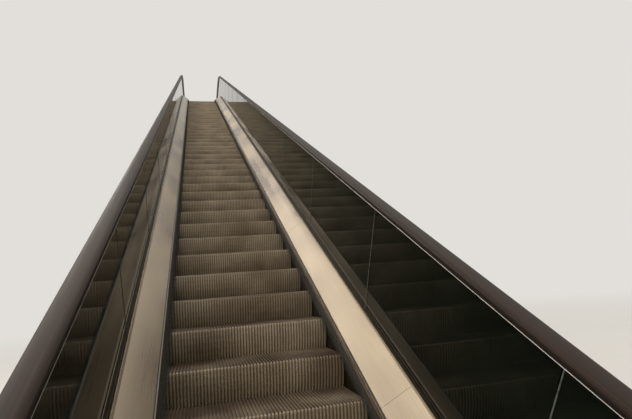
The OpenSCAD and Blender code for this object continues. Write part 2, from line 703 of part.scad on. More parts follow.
// Clamp profile that holds the foot of the glass, with the dark seal beside it
clamp_seat = 40;
clamp_wall = 8;
clamp_path = run_path(clamp_low_y, clamp_top_y, 0, deck_z, low_bend_r, top_bend_r);
module glass_clamp() {
    x0 = glass_x - glass_t / 2 - 1 - clamp_wall;
    x1 = glass_x + glass_t / 2 + 1 + clamp_wall;
    color("#8a857c") sweep(clamp_path, joint = sheet_joint, longest = sheet_len)
        polygon([[x0, 10], [x1, 10], [x1, deck_rise], [x1 - clamp_wall, deck_rise], [x1 - clamp_wall, clamp_seat],
            [x0 + clamp_wall, clamp_seat], [x0 + clamp_wall, deck_rise], [x0, deck_rise]]);
}
module glass_clamp_left() { both(left) glass_clamp(); }
module glass_clamp_right() { both(right) glass_clamp(); }

// Outer deck: a folded sheet from the glass to the outside of the truss
module outer_deck() {
    x0 = glass_x + glass_t / 2 + 1 + clamp_wall;
    x1 = x0 + outer_deck_w;
    color("#9a948a") sweep(deck_path, joint = sheet_joint, longest = sheet_len)
        polygon([[x0, deck_rise - deck_t], [x0, deck_rise], [x1, deck_rise], [x1, -60], [x1 - deck_t, -60],
            [x1 - deck_t, deck_rise - deck_t]]);
}
module outer_deck_left() { both(left) outer_deck(); }
module outer_deck_right() { both(right) outer_deck(); }

// Seal between the inner deck and the clamp
module deck_seal() {
    x0 = deck_x + deck_w + 10;
    x1 = glass_x - glass_t / 2 - 1 - clamp_wall;
    color("#14120f") sweep(clamp_path, joint = sheet_joint, longest = sheet_len)
        polygon([[x0, deck_rise - 16], [x1, deck_rise - 16], [x1, deck_rise - 1], [x0, deck_rise - 1]]);
}
module deck_seal_left() { both(left) deck_seal(); }
module deck_seal_right() { both(right) deck_seal(); }

// Brackets on the truss that carry the clamp and the decks, over the handrail's way back
bracket_len = 60;
bracket_x = glass_x + handrail_w / 2 + 8;
module balustrade_brackets() {
    y_all = [for (y = posts) if (y > clamp_low_y + 60 && y < clamp_top_y - 60
        && abs(y - work_low.x) > low_tangent + 60 && abs(y - work_top.x) > top_tangent + 60) y];
    color("slategray") for (y = y_all, side = [left, right]) {
        a = slope_at(y);
        foot = (top_chord_line[1] - deck_z) * cos(a);
        both(side) straight([y - bracket_len / 2 * cos(a),
            line_z(y, [0, deck_z, 0]) - bracket_len / 2 * sin(a)], a, bracket_len)
            polygon([[glass_x - 15, 10], [glass_x - 15, -16], [bracket_x, -16], [bracket_x, foot],
                [bracket_x + 12, foot], [bracket_x + 12, 10]]);
    }
}

// Glass panes: square joints on the slope, upright joints on the landings, round newel ends
glass_low = [0, deck_z, clamp_seat + seat_gap];
glass_seat = handrail_t / 2 + 6;
glass_high = [0, rail_z, -glass_seat - seat_gap];
lean_z = rail_z - glass_seat - deck_z - clamp_seat;
function lean(y) = lean_z * sin(incline) * cos(incline)
    * min(1, max(0, (y - work_low.x + low_tangent) / (2 * low_tangent)))
    * min(1, max(0, (work_top.x + top_tangent - y) / (2 * top_tangent)));
pane_cuts = cuts(clamp_low_y + 700, clamp_top_y - 700, pane_len);
function high_span(span) = [span[0] - lean(span[0]), span[1] - lean(span[1])];
module newel_glass(y, way, z) {
    r = newel_c - glass_seat - seat_gap;
    centre = [y + way * newel_r, z + rail_z - newel_c];
    y_cut = (way > 0 ? pane_cuts[0] : pane_cuts[len(pane_cuts) - 1]) - way * pane_gap / 2;
    y_clamp = way > 0 ? clamp_low_y : clamp_top_y;
    low = z + deck_z + clamp_seat + seat_gap;
    high = z + deck_z + deck_rise + 4;
    y_cap = y + way * (newel_r - 2);
    difference() {
        union() {
            translate(centre) circle(r);
            translate([min(centre.x, y_cut), low]) square([abs(y_cut - centre.x), centre.y + r - low]);
        }
        translate([min(y_cap, y_clamp), low - 2 * newel_r])
            square([abs(y_clamp - y_cap), high - low + 2 * newel_r]);
    }
}
module glass() {
    color([0.12, 0.14, 0.12, 0.7]) {
        for (i = [0:len(pane_cuts) - 2]) {
            span = [pane_cuts[i] + pane_gap / 2, pane_cuts[i + 1] - pane_gap / 2];
            upright(glass_x - glass_t / 2, glass_x + glass_t / 2)
                polygon(band(span, glass_low, high_span(span), glass_high));
        }
        upright(glass_x - glass_t / 2, glass_x + glass_t / 2) {
            newel_glass(newel_low_y, 1, tread_z);
            newel_glass(newel_top_y, -1, top_z);
        }
    }
}
module glass_left() { both(left) glass(); }
module glass_right() { both(right) glass(); }

// Handrail: one closed loop over the balustrade, round both newels and back below the decks
function dive(y, way, z) = [
    [y + way * 80, z + entry_z, dive_r],
    [y + way * (dive_len - 40), z + hidden_z, dive_r],
];
function rail_path() = concat(
    [[newel_low_y + handrail_t / 2, tread_z + rail_z, newel_c],
        [newel_low_y + handrail_t / 2, tread_z + entry_z, newel_c]],
    dive(newel_low_y + newel_r, 1, tread_z),
    [[work_low.x, tread_z + hidden_z, low_bend_r], [work_top.x, top_z + hidden_z, top_bend_r]],
    back(dive(newel_top_y - newel_r, -1, top_z)),
    [[newel_top_y - handrail_t / 2, top_z + entry_z, newel_c],
        [newel_top_y - handrail_t / 2, top_z + rail_z, newel_c],
        [work_top.x, top_z + rail_z, top_bend_r], [work_low.x, tread_z + rail_z, low_bend_r]]);
module handrail() {
    h = handrail_t / 2;
    w = handrail_w / 2;
    color("#3b302c") sweep(rail_path(), closed = true) translate([glass_x, 0])
        polygon([[-w + 8, -h], [-w, -h + 8], [-w, h - 8], [-w + 10, h], [-14, h], [-14, h - 7], [-w + 9, h - 9],
            [-w + 9, -h + 8], [w - 9, -h + 8], [w - 9, h - 9], [14, h - 7], [14, h], [w - 10, h], [w, h - 8],
            [w, -h + 8], [w - 8, -h]]);
}
module handrail_left() { both(left) handrail(); }
module handrail_right() { both(right) handrail(); }

// Guide inside the handrail, seated on the glass edge; it follows the handrail round the newels
function guide_path() = [
    [newel_top_y - newel_r, top_z + entry_z, 0],
    [newel_top_y - handrail_t / 2, top_z + entry_z, newel_c],
    [newel_top_y - handrail_t / 2, top_z + rail_z, newel_c],
    [work_top.x, top_z + rail_z, top_bend_r],
    [work_low.x, tread_z + rail_z, low_bend_r],
    [newel_low_y + handrail_t / 2, tread_z + rail_z, newel_c],
    [newel_low_y + handrail_t / 2, tread_z + entry_z, newel_c],
    [newel_low_y + newel_r, tread_z + entry_z, 0],
];
module handrail_guide() {
    head = -handrail_t / 2 + 8 + seat_gap;
    grip = glass_t / 2 + 1;
    color("#b9b4ab") sweep(guide_path(), joint = sheet_joint, longest = sheet_len) translate([glass_x, 0])
        polygon([[-28, head], [28, head], [28, head + 6], [grip + 4, head + 6], [grip + 4, glass_seat + 18],
            [grip, glass_seat + 18], [grip, glass_seat], [-grip, glass_seat], [-grip, glass_seat + 18],
            [-grip - 4, glass_seat + 18], [-grip - 4, head + 6], [-28, head + 6]]);
}
module handrail_guide_left() { both(left) handrail_guide(); }
module handrail_guide_right() { both(right) handrail_guide(); }

// End caps of the decks, each with the opening that the handrail runs into, and the cover behind it
inlet_gap = 6;
module inlet(y, y_cover, cover_len, z) {
    floor_z = floor_gap + floor_t;
    x0 = deck_x + deck_w + 10;
    x1 = glass_x + glass_t / 2 + 1 + clamp_wall;
    difference() {
        translate([skirt_x, y, z + floor_z])
            cube([x1 + outer_deck_w - skirt_x, inlet_t, deck_z + deck_rise - floor_z]);
        translate([glass_x - handrail_w / 2 - inlet_gap, y - 1, z + entry_z - handrail_t / 2 - inlet_gap])
            cube([handrail_w + 2 * inlet_gap, inlet_t + 2, handrail_t + 2 * inlet_gap]);
    }
    translate([x0, y_cover, z + deck_z + deck_rise - deck_t]) cube([x1 - x0, cover_len, deck_t]);
}
module handrail_inlets() {
    cover_len = clamp_low_y - deck_low_y;
    color("black") for (side = [left, right]) both(side) {
        inlet(deck_low_y - inlet_t, deck_low_y, cover_len, tread_z);
        inlet(deck_top_y, deck_top_y - cover_len, cover_len, top_z);
    }
}

truss_chords();
truss_posts();
truss_diagonals();
truss_beams();
truss_soffit();
bearing_brackets();
running_rails();
rail_brackets();
steps_lower();
steps_run_1();
steps_run_2();
steps_run_3();
steps_upper();
steps_return();
step_axles();
trailing_rollers();
chain_left();
chain_right();
drive_wheels();
tension_wheels();
drive_machine();
floor_plate_lower();
floor_plate_upper();
comb_lower();
comb_upper();
balustrade_brackets();
skirt_left();
skirt_right();
brush_left();
brush_right();
inner_deck_left();
inner_deck_right();
outer_deck_left();
outer_deck_right();
glass_clamp_left();
glass_clamp_right();
glass_left();
glass_right();
handrail_left();
handrail_right();
deck_seal_left();
deck_seal_right();
handrail_inlets();
handrail_guide_left();
handrail_guide_right();
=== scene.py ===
"""An escalator, seen from one of its own steps up the run: finishes for its CAD nodes, and finer steps,
combs, brushes, handrails and glass joints. Metres; X across, Y up the run, Z up, as in the CAD."""

import math

import bpy
import numpy as np
from mathutils import Matrix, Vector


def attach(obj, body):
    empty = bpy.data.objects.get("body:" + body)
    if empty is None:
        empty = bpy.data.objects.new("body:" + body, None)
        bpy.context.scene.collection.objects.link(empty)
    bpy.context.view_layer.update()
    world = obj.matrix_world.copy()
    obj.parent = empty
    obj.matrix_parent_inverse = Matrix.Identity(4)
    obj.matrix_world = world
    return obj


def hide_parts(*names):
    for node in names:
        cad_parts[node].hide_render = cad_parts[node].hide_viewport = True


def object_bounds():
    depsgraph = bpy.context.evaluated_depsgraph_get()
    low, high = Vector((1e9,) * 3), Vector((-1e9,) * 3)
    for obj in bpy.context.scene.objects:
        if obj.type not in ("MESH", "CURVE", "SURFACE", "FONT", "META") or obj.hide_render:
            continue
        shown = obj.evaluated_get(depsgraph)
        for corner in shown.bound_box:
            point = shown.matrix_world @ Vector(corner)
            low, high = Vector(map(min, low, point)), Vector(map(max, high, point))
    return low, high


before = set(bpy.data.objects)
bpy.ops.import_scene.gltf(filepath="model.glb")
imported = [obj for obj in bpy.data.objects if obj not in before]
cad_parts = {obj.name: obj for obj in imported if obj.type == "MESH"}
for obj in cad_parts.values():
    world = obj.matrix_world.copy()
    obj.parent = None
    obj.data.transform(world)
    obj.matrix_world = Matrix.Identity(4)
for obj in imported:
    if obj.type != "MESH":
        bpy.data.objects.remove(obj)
cad_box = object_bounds()
bpy.context.scene.view_settings.view_transform = "Standard"

# Sizes of the CAD model, in metres

SLOPE = math.radians(27.3)
RISE = 9.24
LOW_BEND, TOP_BEND, RETURN_BEND = 2.0, 2.7, 8.0  # radii of the nose line's bends and of the steps' way back
FLAT_RUN = 1.2  # level steps at each landing
PITCH = 0.4  # one step to the next
STEP_W = 1.0
RISER_H = 0.2
TREAD_GAP = 0.006  # between a tread's back edge and the next riser
TREAD_T = 0.022  # a tread with its cleats
YOKE_X, YOKE_T = 0.427, 0.018  # inner face and thickness of a step's side frames
TREAD_Z = 0.13  # lower landing over the bearing's underside
AXLE_BACK = 0.33  # a step's axle behind its nose
LOW_WHEEL_Y = 0.77  # shaft of the tension wheels
LOW_PIT, TOP_PIT = 0.6, 0.9  # from the wheels to the combs
COMB_LEN, COMB_T, COMB_LIFT = 0.35, 0.016, 0.004
TOOTH_LEN = 0.13
SKIRT_X = 0.504
GLASS_X = 0.684
PANE_LEN = 1.4
DECK_Z = 0.076  # the skirt's top edge over the nose line
RAIL_Z, RAIL_T = 0.97, 0.03  # the handrail's middle over the nose line, and its thickness
NEWEL_R, NEWEL_REACH = 0.43, 0.76  # round end of a balustrade, and how far it reaches past the comb
DIVE_R, DIVE_LEN = 0.4, 0.48  # the handrail's way down under the deck, from a newel's middle
DIVE_START, DIVE_END = 0.08, DIVE_LEN - 0.04  # corners of that way
HIDDEN_Z = 0.036  # the handrail's way back over the nose line
CLAMP_START = DIVE_LEN + 0.06  # from a newel's middle to the clamp's end

HALF = math.tan(SLOPE / 2)  # a bend's tangent over its radius
LOW_TANGENT, TOP_TANGENT = LOW_BEND * HALF, TOP_BEND * HALF  # from a bend's corner to where its arc ends
LOW_COMB_Y = LOW_WHEEL_Y + LOW_PIT
LOW_WORK_Y = LOW_COMB_Y + FLAT_RUN + LOW_TANGENT  # corners of the nose line
TOP_WORK_Y = LOW_WORK_Y + RISE / math.tan(SLOPE)
TOP_COMB_Y = TOP_WORK_Y + TOP_TANGENT + FLAT_RUN
TOP_Z = TREAD_Z + RISE
NEWEL_C = NEWEL_R - RAIL_T / 2  # radius of the handrail's middle round a newel
ENTRY_Z = RAIL_Z - 2 * NEWEL_C  # its middle where it comes back below
LOW_NEWEL_Y, TOP_NEWEL_Y = LOW_COMB_Y - NEWEL_REACH, TOP_COMB_Y + NEWEL_REACH
CLAMP_LOW_Y, CLAMP_TOP_Y = LOW_NEWEL_Y + NEWEL_R + CLAMP_START, TOP_NEWEL_Y - NEWEL_R - CLAMP_START
TRIM_LOW_Y, TRIM_TOP_Y = LOW_COMB_Y + TOOTH_LEN, TOP_COMB_Y - TOOTH_LEN  # brushes and skirt trims

# Finer sizes that the CAD leaves out

CLEAT_PITCH, CLEAT_W, CLEAT_D = 0.0178, 0.0092, 0.0095
GROOVE_COUNT = int((STEP_W - CLEAT_W) / CLEAT_PITCH)  # with a cleat on each side of every groove
FIRST_CLEAT_X = -STEP_W / 2 + (STEP_W - CLEAT_W - GROOVE_COUNT * CLEAT_PITCH) / 2
NOSE_R = 0.009
JOINT_W = 0.005  # silicone over a joint between panes
LONGEST = 0.6  # longest part of a path where it is straight

SIDES = {-1: "left", 1: "right"}


def step_noses():
    """Nose place [y, z] of each step of the upper run: its axle stands every 0.4 m along level, arc, slope,
    arc and level, counted back from the top of the upper wheel. Along an arc of radius r, s metres of path
    turn by a = s / r and go r sin(a) forward and r (1 - cos(a)) up."""
    low_arm = LOW_PIT + FLAT_RUN + LOW_TANGENT + AXLE_BACK
    top_least = TOP_PIT + FLAT_RUN + TOP_TANGENT - AXLE_BACK
    slope = RISE / math.sin(SLOPE)
    saved = (LOW_BEND + TOP_BEND + 2 * RETURN_BEND) * (2 * HALF - SLOPE)  # by arcs in place of corners
    path = 2 * (low_arm + slope + top_least) - saved
    top_arm = top_least + (math.ceil(path / PITCH) * PITCH - path) / 2
    ends = np.cumsum([low_arm - LOW_TANGENT, LOW_BEND * SLOPE, slope - LOW_TANGENT - TOP_TANGENT,
                      TOP_BEND * SLOPE, top_arm - TOP_TANGENT])
    s = ends[-1] - PITCH * np.arange(int(ends[-1] / PITCH + 1e-9), -1, -1)
    a = np.clip((s - ends[0]) / LOW_BEND, 0, SLOPE)
    mid = np.clip(s - ends[1], 0, ends[2] - ends[1])
    b = np.clip((s - ends[2]) / TOP_BEND, 0, SLOPE)
    y = np.minimum(s, ends[0]) + LOW_BEND * np.sin(a) + mid * math.cos(SLOPE)
    y += TOP_BEND * (math.sin(SLOPE) - np.sin(SLOPE - b)) + np.clip(s - ends[3], 0, None)
    z = LOW_BEND * (1 - np.cos(a)) + mid * math.sin(SLOPE)
    z += TOP_BEND * (np.cos(SLOPE - b) - math.cos(SLOPE))
    return np.stack([LOW_WHEEL_Y - AXLE_BACK + y, TREAD_Z + z], 1)


NOSES = step_noses()


# Colours and nodes

MIDDLE = {"From_Min": 0.3, "From_Max": 0.7}  # nearly all of a noise pattern lies in this range
FADE = 0.55  # how much of a noise pattern its finer layers make


def linear(hex_code):
    """sRGB hex to linear RGBA: each channel c is c/12.92 below 0.04045, else ((c + 0.055)/1.055)^2.4."""
    c = np.array([int(hex_code[i:i + 2], 16) for i in (1, 3, 5)]) / 255
    c = np.where(c < 0.04045, c / 12.92, ((c + 0.055) / 1.055) ** 2.4)
    return (*[float(v) for v in c], 1.0)


def plug(tree, node, **inputs):
    """Fills a node's inputs, by name or, as _0 or _1, by number: a socket is linked, a plain value is set."""
    for name, value in inputs.items():
        socket = node.inputs[int(name[1:]) if name[0] == "_" else name.replace("_", " ")]
        if isinstance(value, bpy.types.NodeSocket):
            tree.links.new(value, socket)
        else:
            socket.default_value = value


def add(tree, kind, settings=None, stops=(), **inputs):
    """Adds one node with its settings, its colour stops (place, hex) and its inputs; returns its outputs."""
    node = tree.nodes.new("ShaderNode" + kind)
    for name, value in (settings or {}).items():
        setattr(node, name, value)
    for _ in stops[2:]:
        node.color_ramp.elements.new(0.5)
    for i, (place, code) in enumerate(stops):
        node.color_ramp.elements[i].position = place
        node.color_ramp.elements[i].color = linear(code)
    plug(tree, node, **inputs)
    return node.outputs


def material(name, **values):
    """A material with values on its Principled shader's own sockets; returns it, its tree, that shader and
    Object coordinates."""
    m = bpy.data.materials.new(name)
    m.use_nodes = True
    shader = m.node_tree.nodes["Principled BSDF"]
    plug(m.node_tree, shader, **values)
    return m, m.node_tree, shader, add(m.node_tree, "TexCoord")["Object"]


# Finishes

def step_aluminium(name, light, mid, dark, rough):
    """Die-cast aluminium steps, painted and worn: brown grey, lighter and darker in scuffed patches, and red
    brown where dirt lies in the treads. Its colours for the riser's grooves are painted shade, and for the
    tread's grooves painted light."""
    m, t, shader, coords = material(name, Roughness=rough, Metallic=0.35)
    wide = add(t, "Mapping", Vector=coords, Scale=(3, 3, 3))[0]
    scuffs = add(t, "TexNoise", Vector=wide, Scale=1.0, Detail=5, Roughness=FADE)["Fac"]  # 330 mm across
    grit = add(t, "TexNoise", Vector=coords, Scale=260.0, Detail=3, Roughness=FADE)["Fac"]  # 4 mm, to show
    worn = add(t, "ValToRGB", stops=((0.3, dark), (0.5, mid), (0.72, light)), Fac=scuffs)[0]
    fine = add(t, "ValToRGB", stops=((0.35, "#8c8c8c"), (0.65, "#ffffff")), Fac=grit)[0]
    both = add(t, "Mix", {"data_type": "RGBA", "blend_type": "MULTIPLY"}, _0=0.6, _6=worn, _7=fine)[2]
    plug(t, shader, Base_Color=both,
         Roughness=add(t, "MapRange", Value=scuffs, To_Min=rough - 0.1, To_Max=rough + 0.12, **MIDDLE)[0],
         Normal=add(t, "Bump", Height=grit, Distance=0.0004, Strength=0.5)[0])
    return m


def handrail_rubber():
    """Moulded rubber handrail: dark brown, satin, polished by hands with faint long streaks."""
    m, t, shader, coords = material("handrail_rubber_satin", Roughness=0.5, Specular_IOR_Level=0.15,
                                    Specular_Tint=linear("#d0bda9"))
    rubs = add(t, "Mapping", Vector=coords, Scale=(90, 0.7, 1.2))[0]  # 11 mm wide, over a metre long
    streak = add(t, "TexNoise", Vector=rubs, Scale=1.0, Detail=4, Roughness=FADE)["Fac"]
    grain = add(t, "TexNoise", Vector=coords, Scale=700.0, Detail=2, Roughness=FADE)["Fac"]  # 1.5 mm
    plug(t, shader,
         Base_Color=add(t, "ValToRGB", stops=((0.3, "#201a16"), (0.55, "#2d2520"), (0.75, "#3c322b")),
                        Fac=streak)[0],
         Roughness=add(t, "MapRange", Value=streak, To_Min=0.44, To_Max=0.58, **MIDDLE)[0],
         Normal=add(t, "Bump", Height=grain, Distance=0.0002, Strength=0.35)[0])
    return m


def brushed_deck(name, low, high, rough):
    """Stainless decks brushed along the run: a warm grey with long fine lines and a soft sheen."""
    m, t, shader, coords = material(name, Roughness=rough, Metallic=0.42, Anisotropic=0.4)
    brushed = add(t, "Mapping", Vector=coords, Scale=(700, 3, 6))[0]  # lines of 1.5 mm, coarser to show
    lines = add(t, "TexNoise", Vector=brushed, Scale=1.0, Detail=3, Roughness=FADE)["Fac"]
    metre = add(t, "Mapping", Vector=coords, Scale=(3, 1.1, 1.1))[0]
    wear = add(t, "TexNoise", Vector=metre, Scale=1.0, Detail=1, Roughness=0.4)["Fac"]  # slow, 0.9 m long
    slow = add(t, "Math", {"operation": "MULTIPLY"}, _0=wear, _1=0.8)[0]
    both = add(t, "Math", {"operation": "MULTIPLY_ADD"}, _0=lines, _1=0.2, _2=slow)[0]
    plug(t, shader, Base_Color=add(t, "ValToRGB", stops=((0.35, low), (0.65, high)), Fac=both)[0],
         Roughness=add(t, "MapRange", Value=both, To_Min=rough - 0.08, To_Max=rough + 0.1, **MIDDLE)[0],
         Normal=add(t, "Bump", Height=lines, Distance=0.00006, Strength=0.2)[0])
    return m


def skirt_coating():
    """Low-friction coated skirt sheet: nearly black brown, with scuffs that run with the steps."""
    m, t, shader, coords = material("skirt_coating_dark", Roughness=0.42, Metallic=0.2)
    along = add(t, "Mapping", Vector=coords, Rotation=(SLOPE, 0, 0), Scale=(60, 2.5, 2.5))[0]
    scuff = add(t, "TexNoise", Vector=along, Scale=1.0, Detail=5, Roughness=FADE)["Fac"]  # 400 mm long
    plug(t, shader,
         Base_Color=add(t, "ValToRGB", stops=((0.35, "#1d160e"), (0.6, "#31271b"), (0.8, "#524630")),
                        Fac=scuff)[0],
         Roughness=add(t, "MapRange", Value=scuff, To_Min=0.34, To_Max=0.55, **MIDDLE)[0])
    return m


def smoked_glass():
    """Tempered smoked glass: dark smoky green, see-through only a little, with clean sharp reflections."""
    m, t, shader, coords = material("smoked_glass", Roughness=0.03, Transmission_Weight=0.45, IOR=1.5,
                                    Specular_IOR_Level=0.18)
    film = add(t, "TexNoise", Vector=coords, Scale=6.0, Detail=3, Roughness=FADE)["Fac"]  # dust, 170 mm
    plug(t, shader, Base_Color=add(t, "ValToRGB", stops=((0.3, "#0f130e"), (0.7, "#161b15")), Fac=film)[0],
         Roughness=add(t, "MapRange", Value=film, To_Min=0.02, To_Max=0.07, **MIDDLE)[0])
    return m


def truss_paint():
    """Primed structural steel: matt blue grey with mill marks and faint rust at a few places."""
    m, t, shader, coords = material("truss_primer", Roughness=0.6, Metallic=0.1)
    blot = add(t, "TexNoise", Vector=coords, Scale=5.0, Detail=6, Roughness=FADE)["Fac"]  # 200 mm
    mill = add(t, "TexNoise", Vector=coords, Scale=140.0, Detail=3, Roughness=FADE)["Fac"]  # 7 mm
    plug(t, shader,
         Base_Color=add(t, "ValToRGB", stops=((0.3, "#474d52"), (0.6, "#5a6268"), (0.85, "#6d6a62")),
                        Fac=blot)[0],
         Roughness=add(t, "MapRange", Value=blot, To_Min=0.5, To_Max=0.7, **MIDDLE)[0],
         Normal=add(t, "Bump", Height=mill, Distance=0.0004, Strength=0.4)[0])
    return m


def zinc_sheet():
    """Galvanised sheet: pale grey with the spangle of zinc crystals, about 15 mm across."""
    m, t, shader, coords = material("zinc_sheet_spangled", Roughness=0.42, Metallic=0.8)
    spangle = add(t, "TexVoronoi", Vector=coords, Scale=65.0)["Color"]
    plug(t, shader, Base_Color=add(t, "ValToRGB", stops=((0.1, "#9a9d9f"), (0.9, "#b9bcbd")), Fac=spangle)[0])
    return m


def machined_steel(name, dark, light, rough):
    """Bright or oiled steel of rails, axles and chains: turned or rolled, with oil patches."""
    m, t, shader, coords = material(name, Roughness=rough, Metallic=0.9)
    oil = add(t, "TexNoise", Vector=coords, Scale=24.0, Detail=4, Roughness=FADE)["Fac"]  # 40 mm patches
    turned = add(t, "Mapping", Vector=coords, Scale=(900, 60, 60))[0]  # tool marks of 1 mm, to show
    marks = add(t, "TexNoise", Vector=turned, Scale=1.0, Detail=2, Roughness=FADE)["Fac"]
    plug(t, shader, Base_Color=add(t, "ValToRGB", stops=((0.35, dark), (0.65, light)), Fac=oil)[0],
         Roughness=add(t, "MapRange", Value=oil, To_Min=rough - 0.08, To_Max=rough + 0.12, **MIDDLE)[0],
         Normal=add(t, "Bump", Height=marks, Distance=0.0001, Strength=0.3)[0])
    return m


def cast_iron():
    """Grey cast iron wheels and hubs: dull, with the grain of the sand mould, about 2 mm."""
    m, t, shader, coords = material("cast_iron_sand", Roughness=0.62, Metallic=0.6)
    grain = add(t, "TexNoise", Vector=coords, Scale=450.0, Detail=3, Roughness=FADE)["Fac"]
    plug(t, shader, Base_Color=add(t, "ValToRGB", stops=((0.35, "#3c3c3e"), (0.65, "#57575a")), Fac=grain)[0],
         Normal=add(t, "Bump", Height=grain, Distance=0.0006, Strength=0.6)[0])
    return m


def machine_enamel():
    """Machine enamel on the drive: dark green blue, even gloss with a slight orange peel of 8 mm."""
    m, t, shader, coords = material("machine_enamel", Roughness=0.3, Coat_Weight=0.3)
    peel = add(t, "TexNoise", Vector=coords, Scale=120.0, Detail=2, Roughness=FADE)["Fac"]
    tone = add(t, "TexNoise", Vector=coords, Scale=4.0, Detail=3, Roughness=FADE)["Fac"]  # over 250 mm
    plug(t, shader, Base_Color=add(t, "ValToRGB", stops=((0.3, "#25383b"), (0.7, "#2f474a")), Fac=tone)[0],
         Normal=add(t, "Bump", Height=peel, Distance=0.0003, Strength=0.3)[0])
    return m


def ribbed_floor(name, low, high, pitch, shift=0.0):
    """Aluminium floor and comb plates: ribs along the walk, a bump only, coloured bright on top and dark
    between as painted shade in the grooves. Shifted by half a pitch, the comb's ribs run on into its teeth."""
    m, t, shader, coords = material(name, Roughness=0.4, Metallic=0.8)
    shifted = add(t, "Mapping", Vector=coords, Location=(shift, 0, 0))[0]
    across = add(t, "SeparateXYZ", Vector=shifted)[0]
    wave = add(t, "Math", {"operation": "PINGPONG"}, _0=across, _1=pitch / 2)[0]
    rib = add(t, "MapRange", {"interpolation_type": "SMOOTHSTEP"}, Value=wave, From_Min=pitch * 0.15,
              From_Max=pitch * 0.3)[0]
    # Painted shade in the grooves: the ramp goes dark between the ribs and bright on their tops
    plug(t, shader, Base_Color=add(t, "ValToRGB", stops=((0.0, low), (1.0, high)), Fac=rib)[0],
         Normal=add(t, "Bump", Height=rib, Distance=0.0012, Strength=0.8)[0])
    return m


def moulded_plastic(name, dark, light, rough, per_metre):
    """Moulded dark plastic or rubber of caps, seals, rollers and bristles: matt, with a spark grain of so
    many marks to the metre."""
    m, t, shader, coords = material(name, Roughness=rough)
    grain = add(t, "TexNoise", Vector=coords, Scale=per_metre, Detail=3, Roughness=FADE)["Fac"]
    plug(t, shader, Base_Color=add(t, "ValToRGB", stops=((0.35, dark), (0.65, light)), Fac=grain)[0],
         Roughness=add(t, "MapRange", Value=grain, To_Min=rough - 0.06, To_Max=rough + 0.08, **MIDDLE)[0],
         Normal=add(t, "Bump", Height=grain, Distance=0.0003, Strength=0.4)[0])
    return m


def drawn_aluminium(name, low, high, rough):
    """Drawn and anodised aluminium profiles: pale satin metal with faint lines along the run."""
    m, t, shader, coords = material(name, Roughness=rough, Metallic=0.9)
    drawn = add(t, "Mapping", Vector=coords, Scale=(500, 4, 30))[0]  # lines of 2 mm, coarser to show
    line = add(t, "TexNoise", Vector=drawn, Scale=1.0, Detail=3, Roughness=FADE)["Fac"]
    plug(t, shader, Base_Color=add(t, "ValToRGB", stops=((0.35, low), (0.65, high)), Fac=line)[0],
         Roughness=add(t, "MapRange", Value=line, To_Min=rough - 0.06, To_Max=rough + 0.08, **MIDDLE)[0])
    return m


CLEAT_TOPS = step_aluminium("step_cleats_worn", "#c6ba9f", "#aa9c82", "#8a7a62", 0.45)
# Painted shade: darker grooves and cleat sides on risers and noses; also the steps' undersides and frames
GROOVES_PAINTED_SHADE = step_aluminium("step_grooves_painted_shade", "#937f69", "#7b6b56", "#625141", 0.6)
TREADS = step_aluminium("step_treads_scuffed", "#aea087", "#897965", "#66503f", 0.5)
# Painted light: the tread's grooves, lighter than its cleat tops to cancel the shade that falls in them
TREAD_GROOVES_PAINTED_LIGHT = step_aluminium("step_tread_grooves_painted_light", "#b7a88e", "#8e7d68", "#685240", 0.62)
RUBBER = handrail_rubber()
DECK = brushed_deck("deck_stainless_brushed", "#786a58", "#b7a78e", 0.3)
# Painted highlight: the deck's rolled edge, coloured far lighter than the deck it is folded from
EDGE_PAINTED_HIGHLIGHT = drawn_aluminium("deck_edge_painted_highlight", "#b5a286", "#dac8ab", 0.24)
OUTER = brushed_deck("outer_deck_stainless", "#9a938a", "#b9b3aa", 0.4)
TRIM = drawn_aluminium("trim_aluminium_drawn", "#77736c", "#9a958d", 0.34)
HOLDER = drawn_aluminium("brush_holder_bronze", "#4f4332", "#6e5f48", 0.38)
SEAL = moulded_plastic("seal_rubber_matt", "#17110c", "#2a2018", 0.7, 300.0)
BRISTLE = moulded_plastic("brush_bristle_nylon", "#14100b", "#2e2619", 0.7, 500.0)
JOINT = moulded_plastic("joint_silicone_grey", "#484d46", "#5e645b", 0.3, 40.0)
COMB = ribbed_floor("comb_aluminium_ribbed", "#7a7263", "#cfc4a6", CLEAT_PITCH, CLEAT_PITCH / 2)
PRIMER, IRON = truss_paint(), cast_iron()
FINISHES = {
    "truss": PRIMER, "truss_soffit": zinc_sheet(), "bearing_brackets": PRIMER, "rail_brackets": PRIMER,
    "balustrade_brackets": PRIMER, "steps": CLEAT_TOPS, "drive_wheels": IRON, "tension_wheels": IRON,
    "running_rails": machined_steel("rail_steel_rolled", "#7c7c7c", "#a6a6a6", 0.35),
    "step_axles": machined_steel("axle_steel_ground", "#77777a", "#9c9ca0", 0.3),
    "chain": machined_steel("chain_steel_oiled", "#2a2725", "#4b4640", 0.38),
    "trailing_rollers": moulded_plastic("roller_polyurethane", "#141312", "#2a2724", 0.45, 200.0),
    "drive_machine": machine_enamel(), "comb": COMB,
    "floor_plate": ribbed_floor("floor_aluminium_ribbed", "#6c675f", "#b4aea4", 0.016),
    "skirt": skirt_coating(), "brush": BRISTLE, "inner_deck": DECK, "outer_deck": OUTER, "deck_seal": SEAL,
    "glass_clamp": drawn_aluminium("clamp_aluminium_dark", "#3a352e", "#57503f", 0.42),
    "glass": smoked_glass(), "handrail": RUBBER, "handrail_guide": TRIM,
    "handrail_inlets": moulded_plastic("inlet_plastic_moulded", "#0f0f0f", "#232322", 0.5, 350.0),
}
for name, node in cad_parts.items():
    start = max((k for k in FINISHES if name.startswith(k)), key=len)  # the longest that fits
    node.data.materials.clear()
    node.data.materials.append(FINISHES[start])


# Meshes

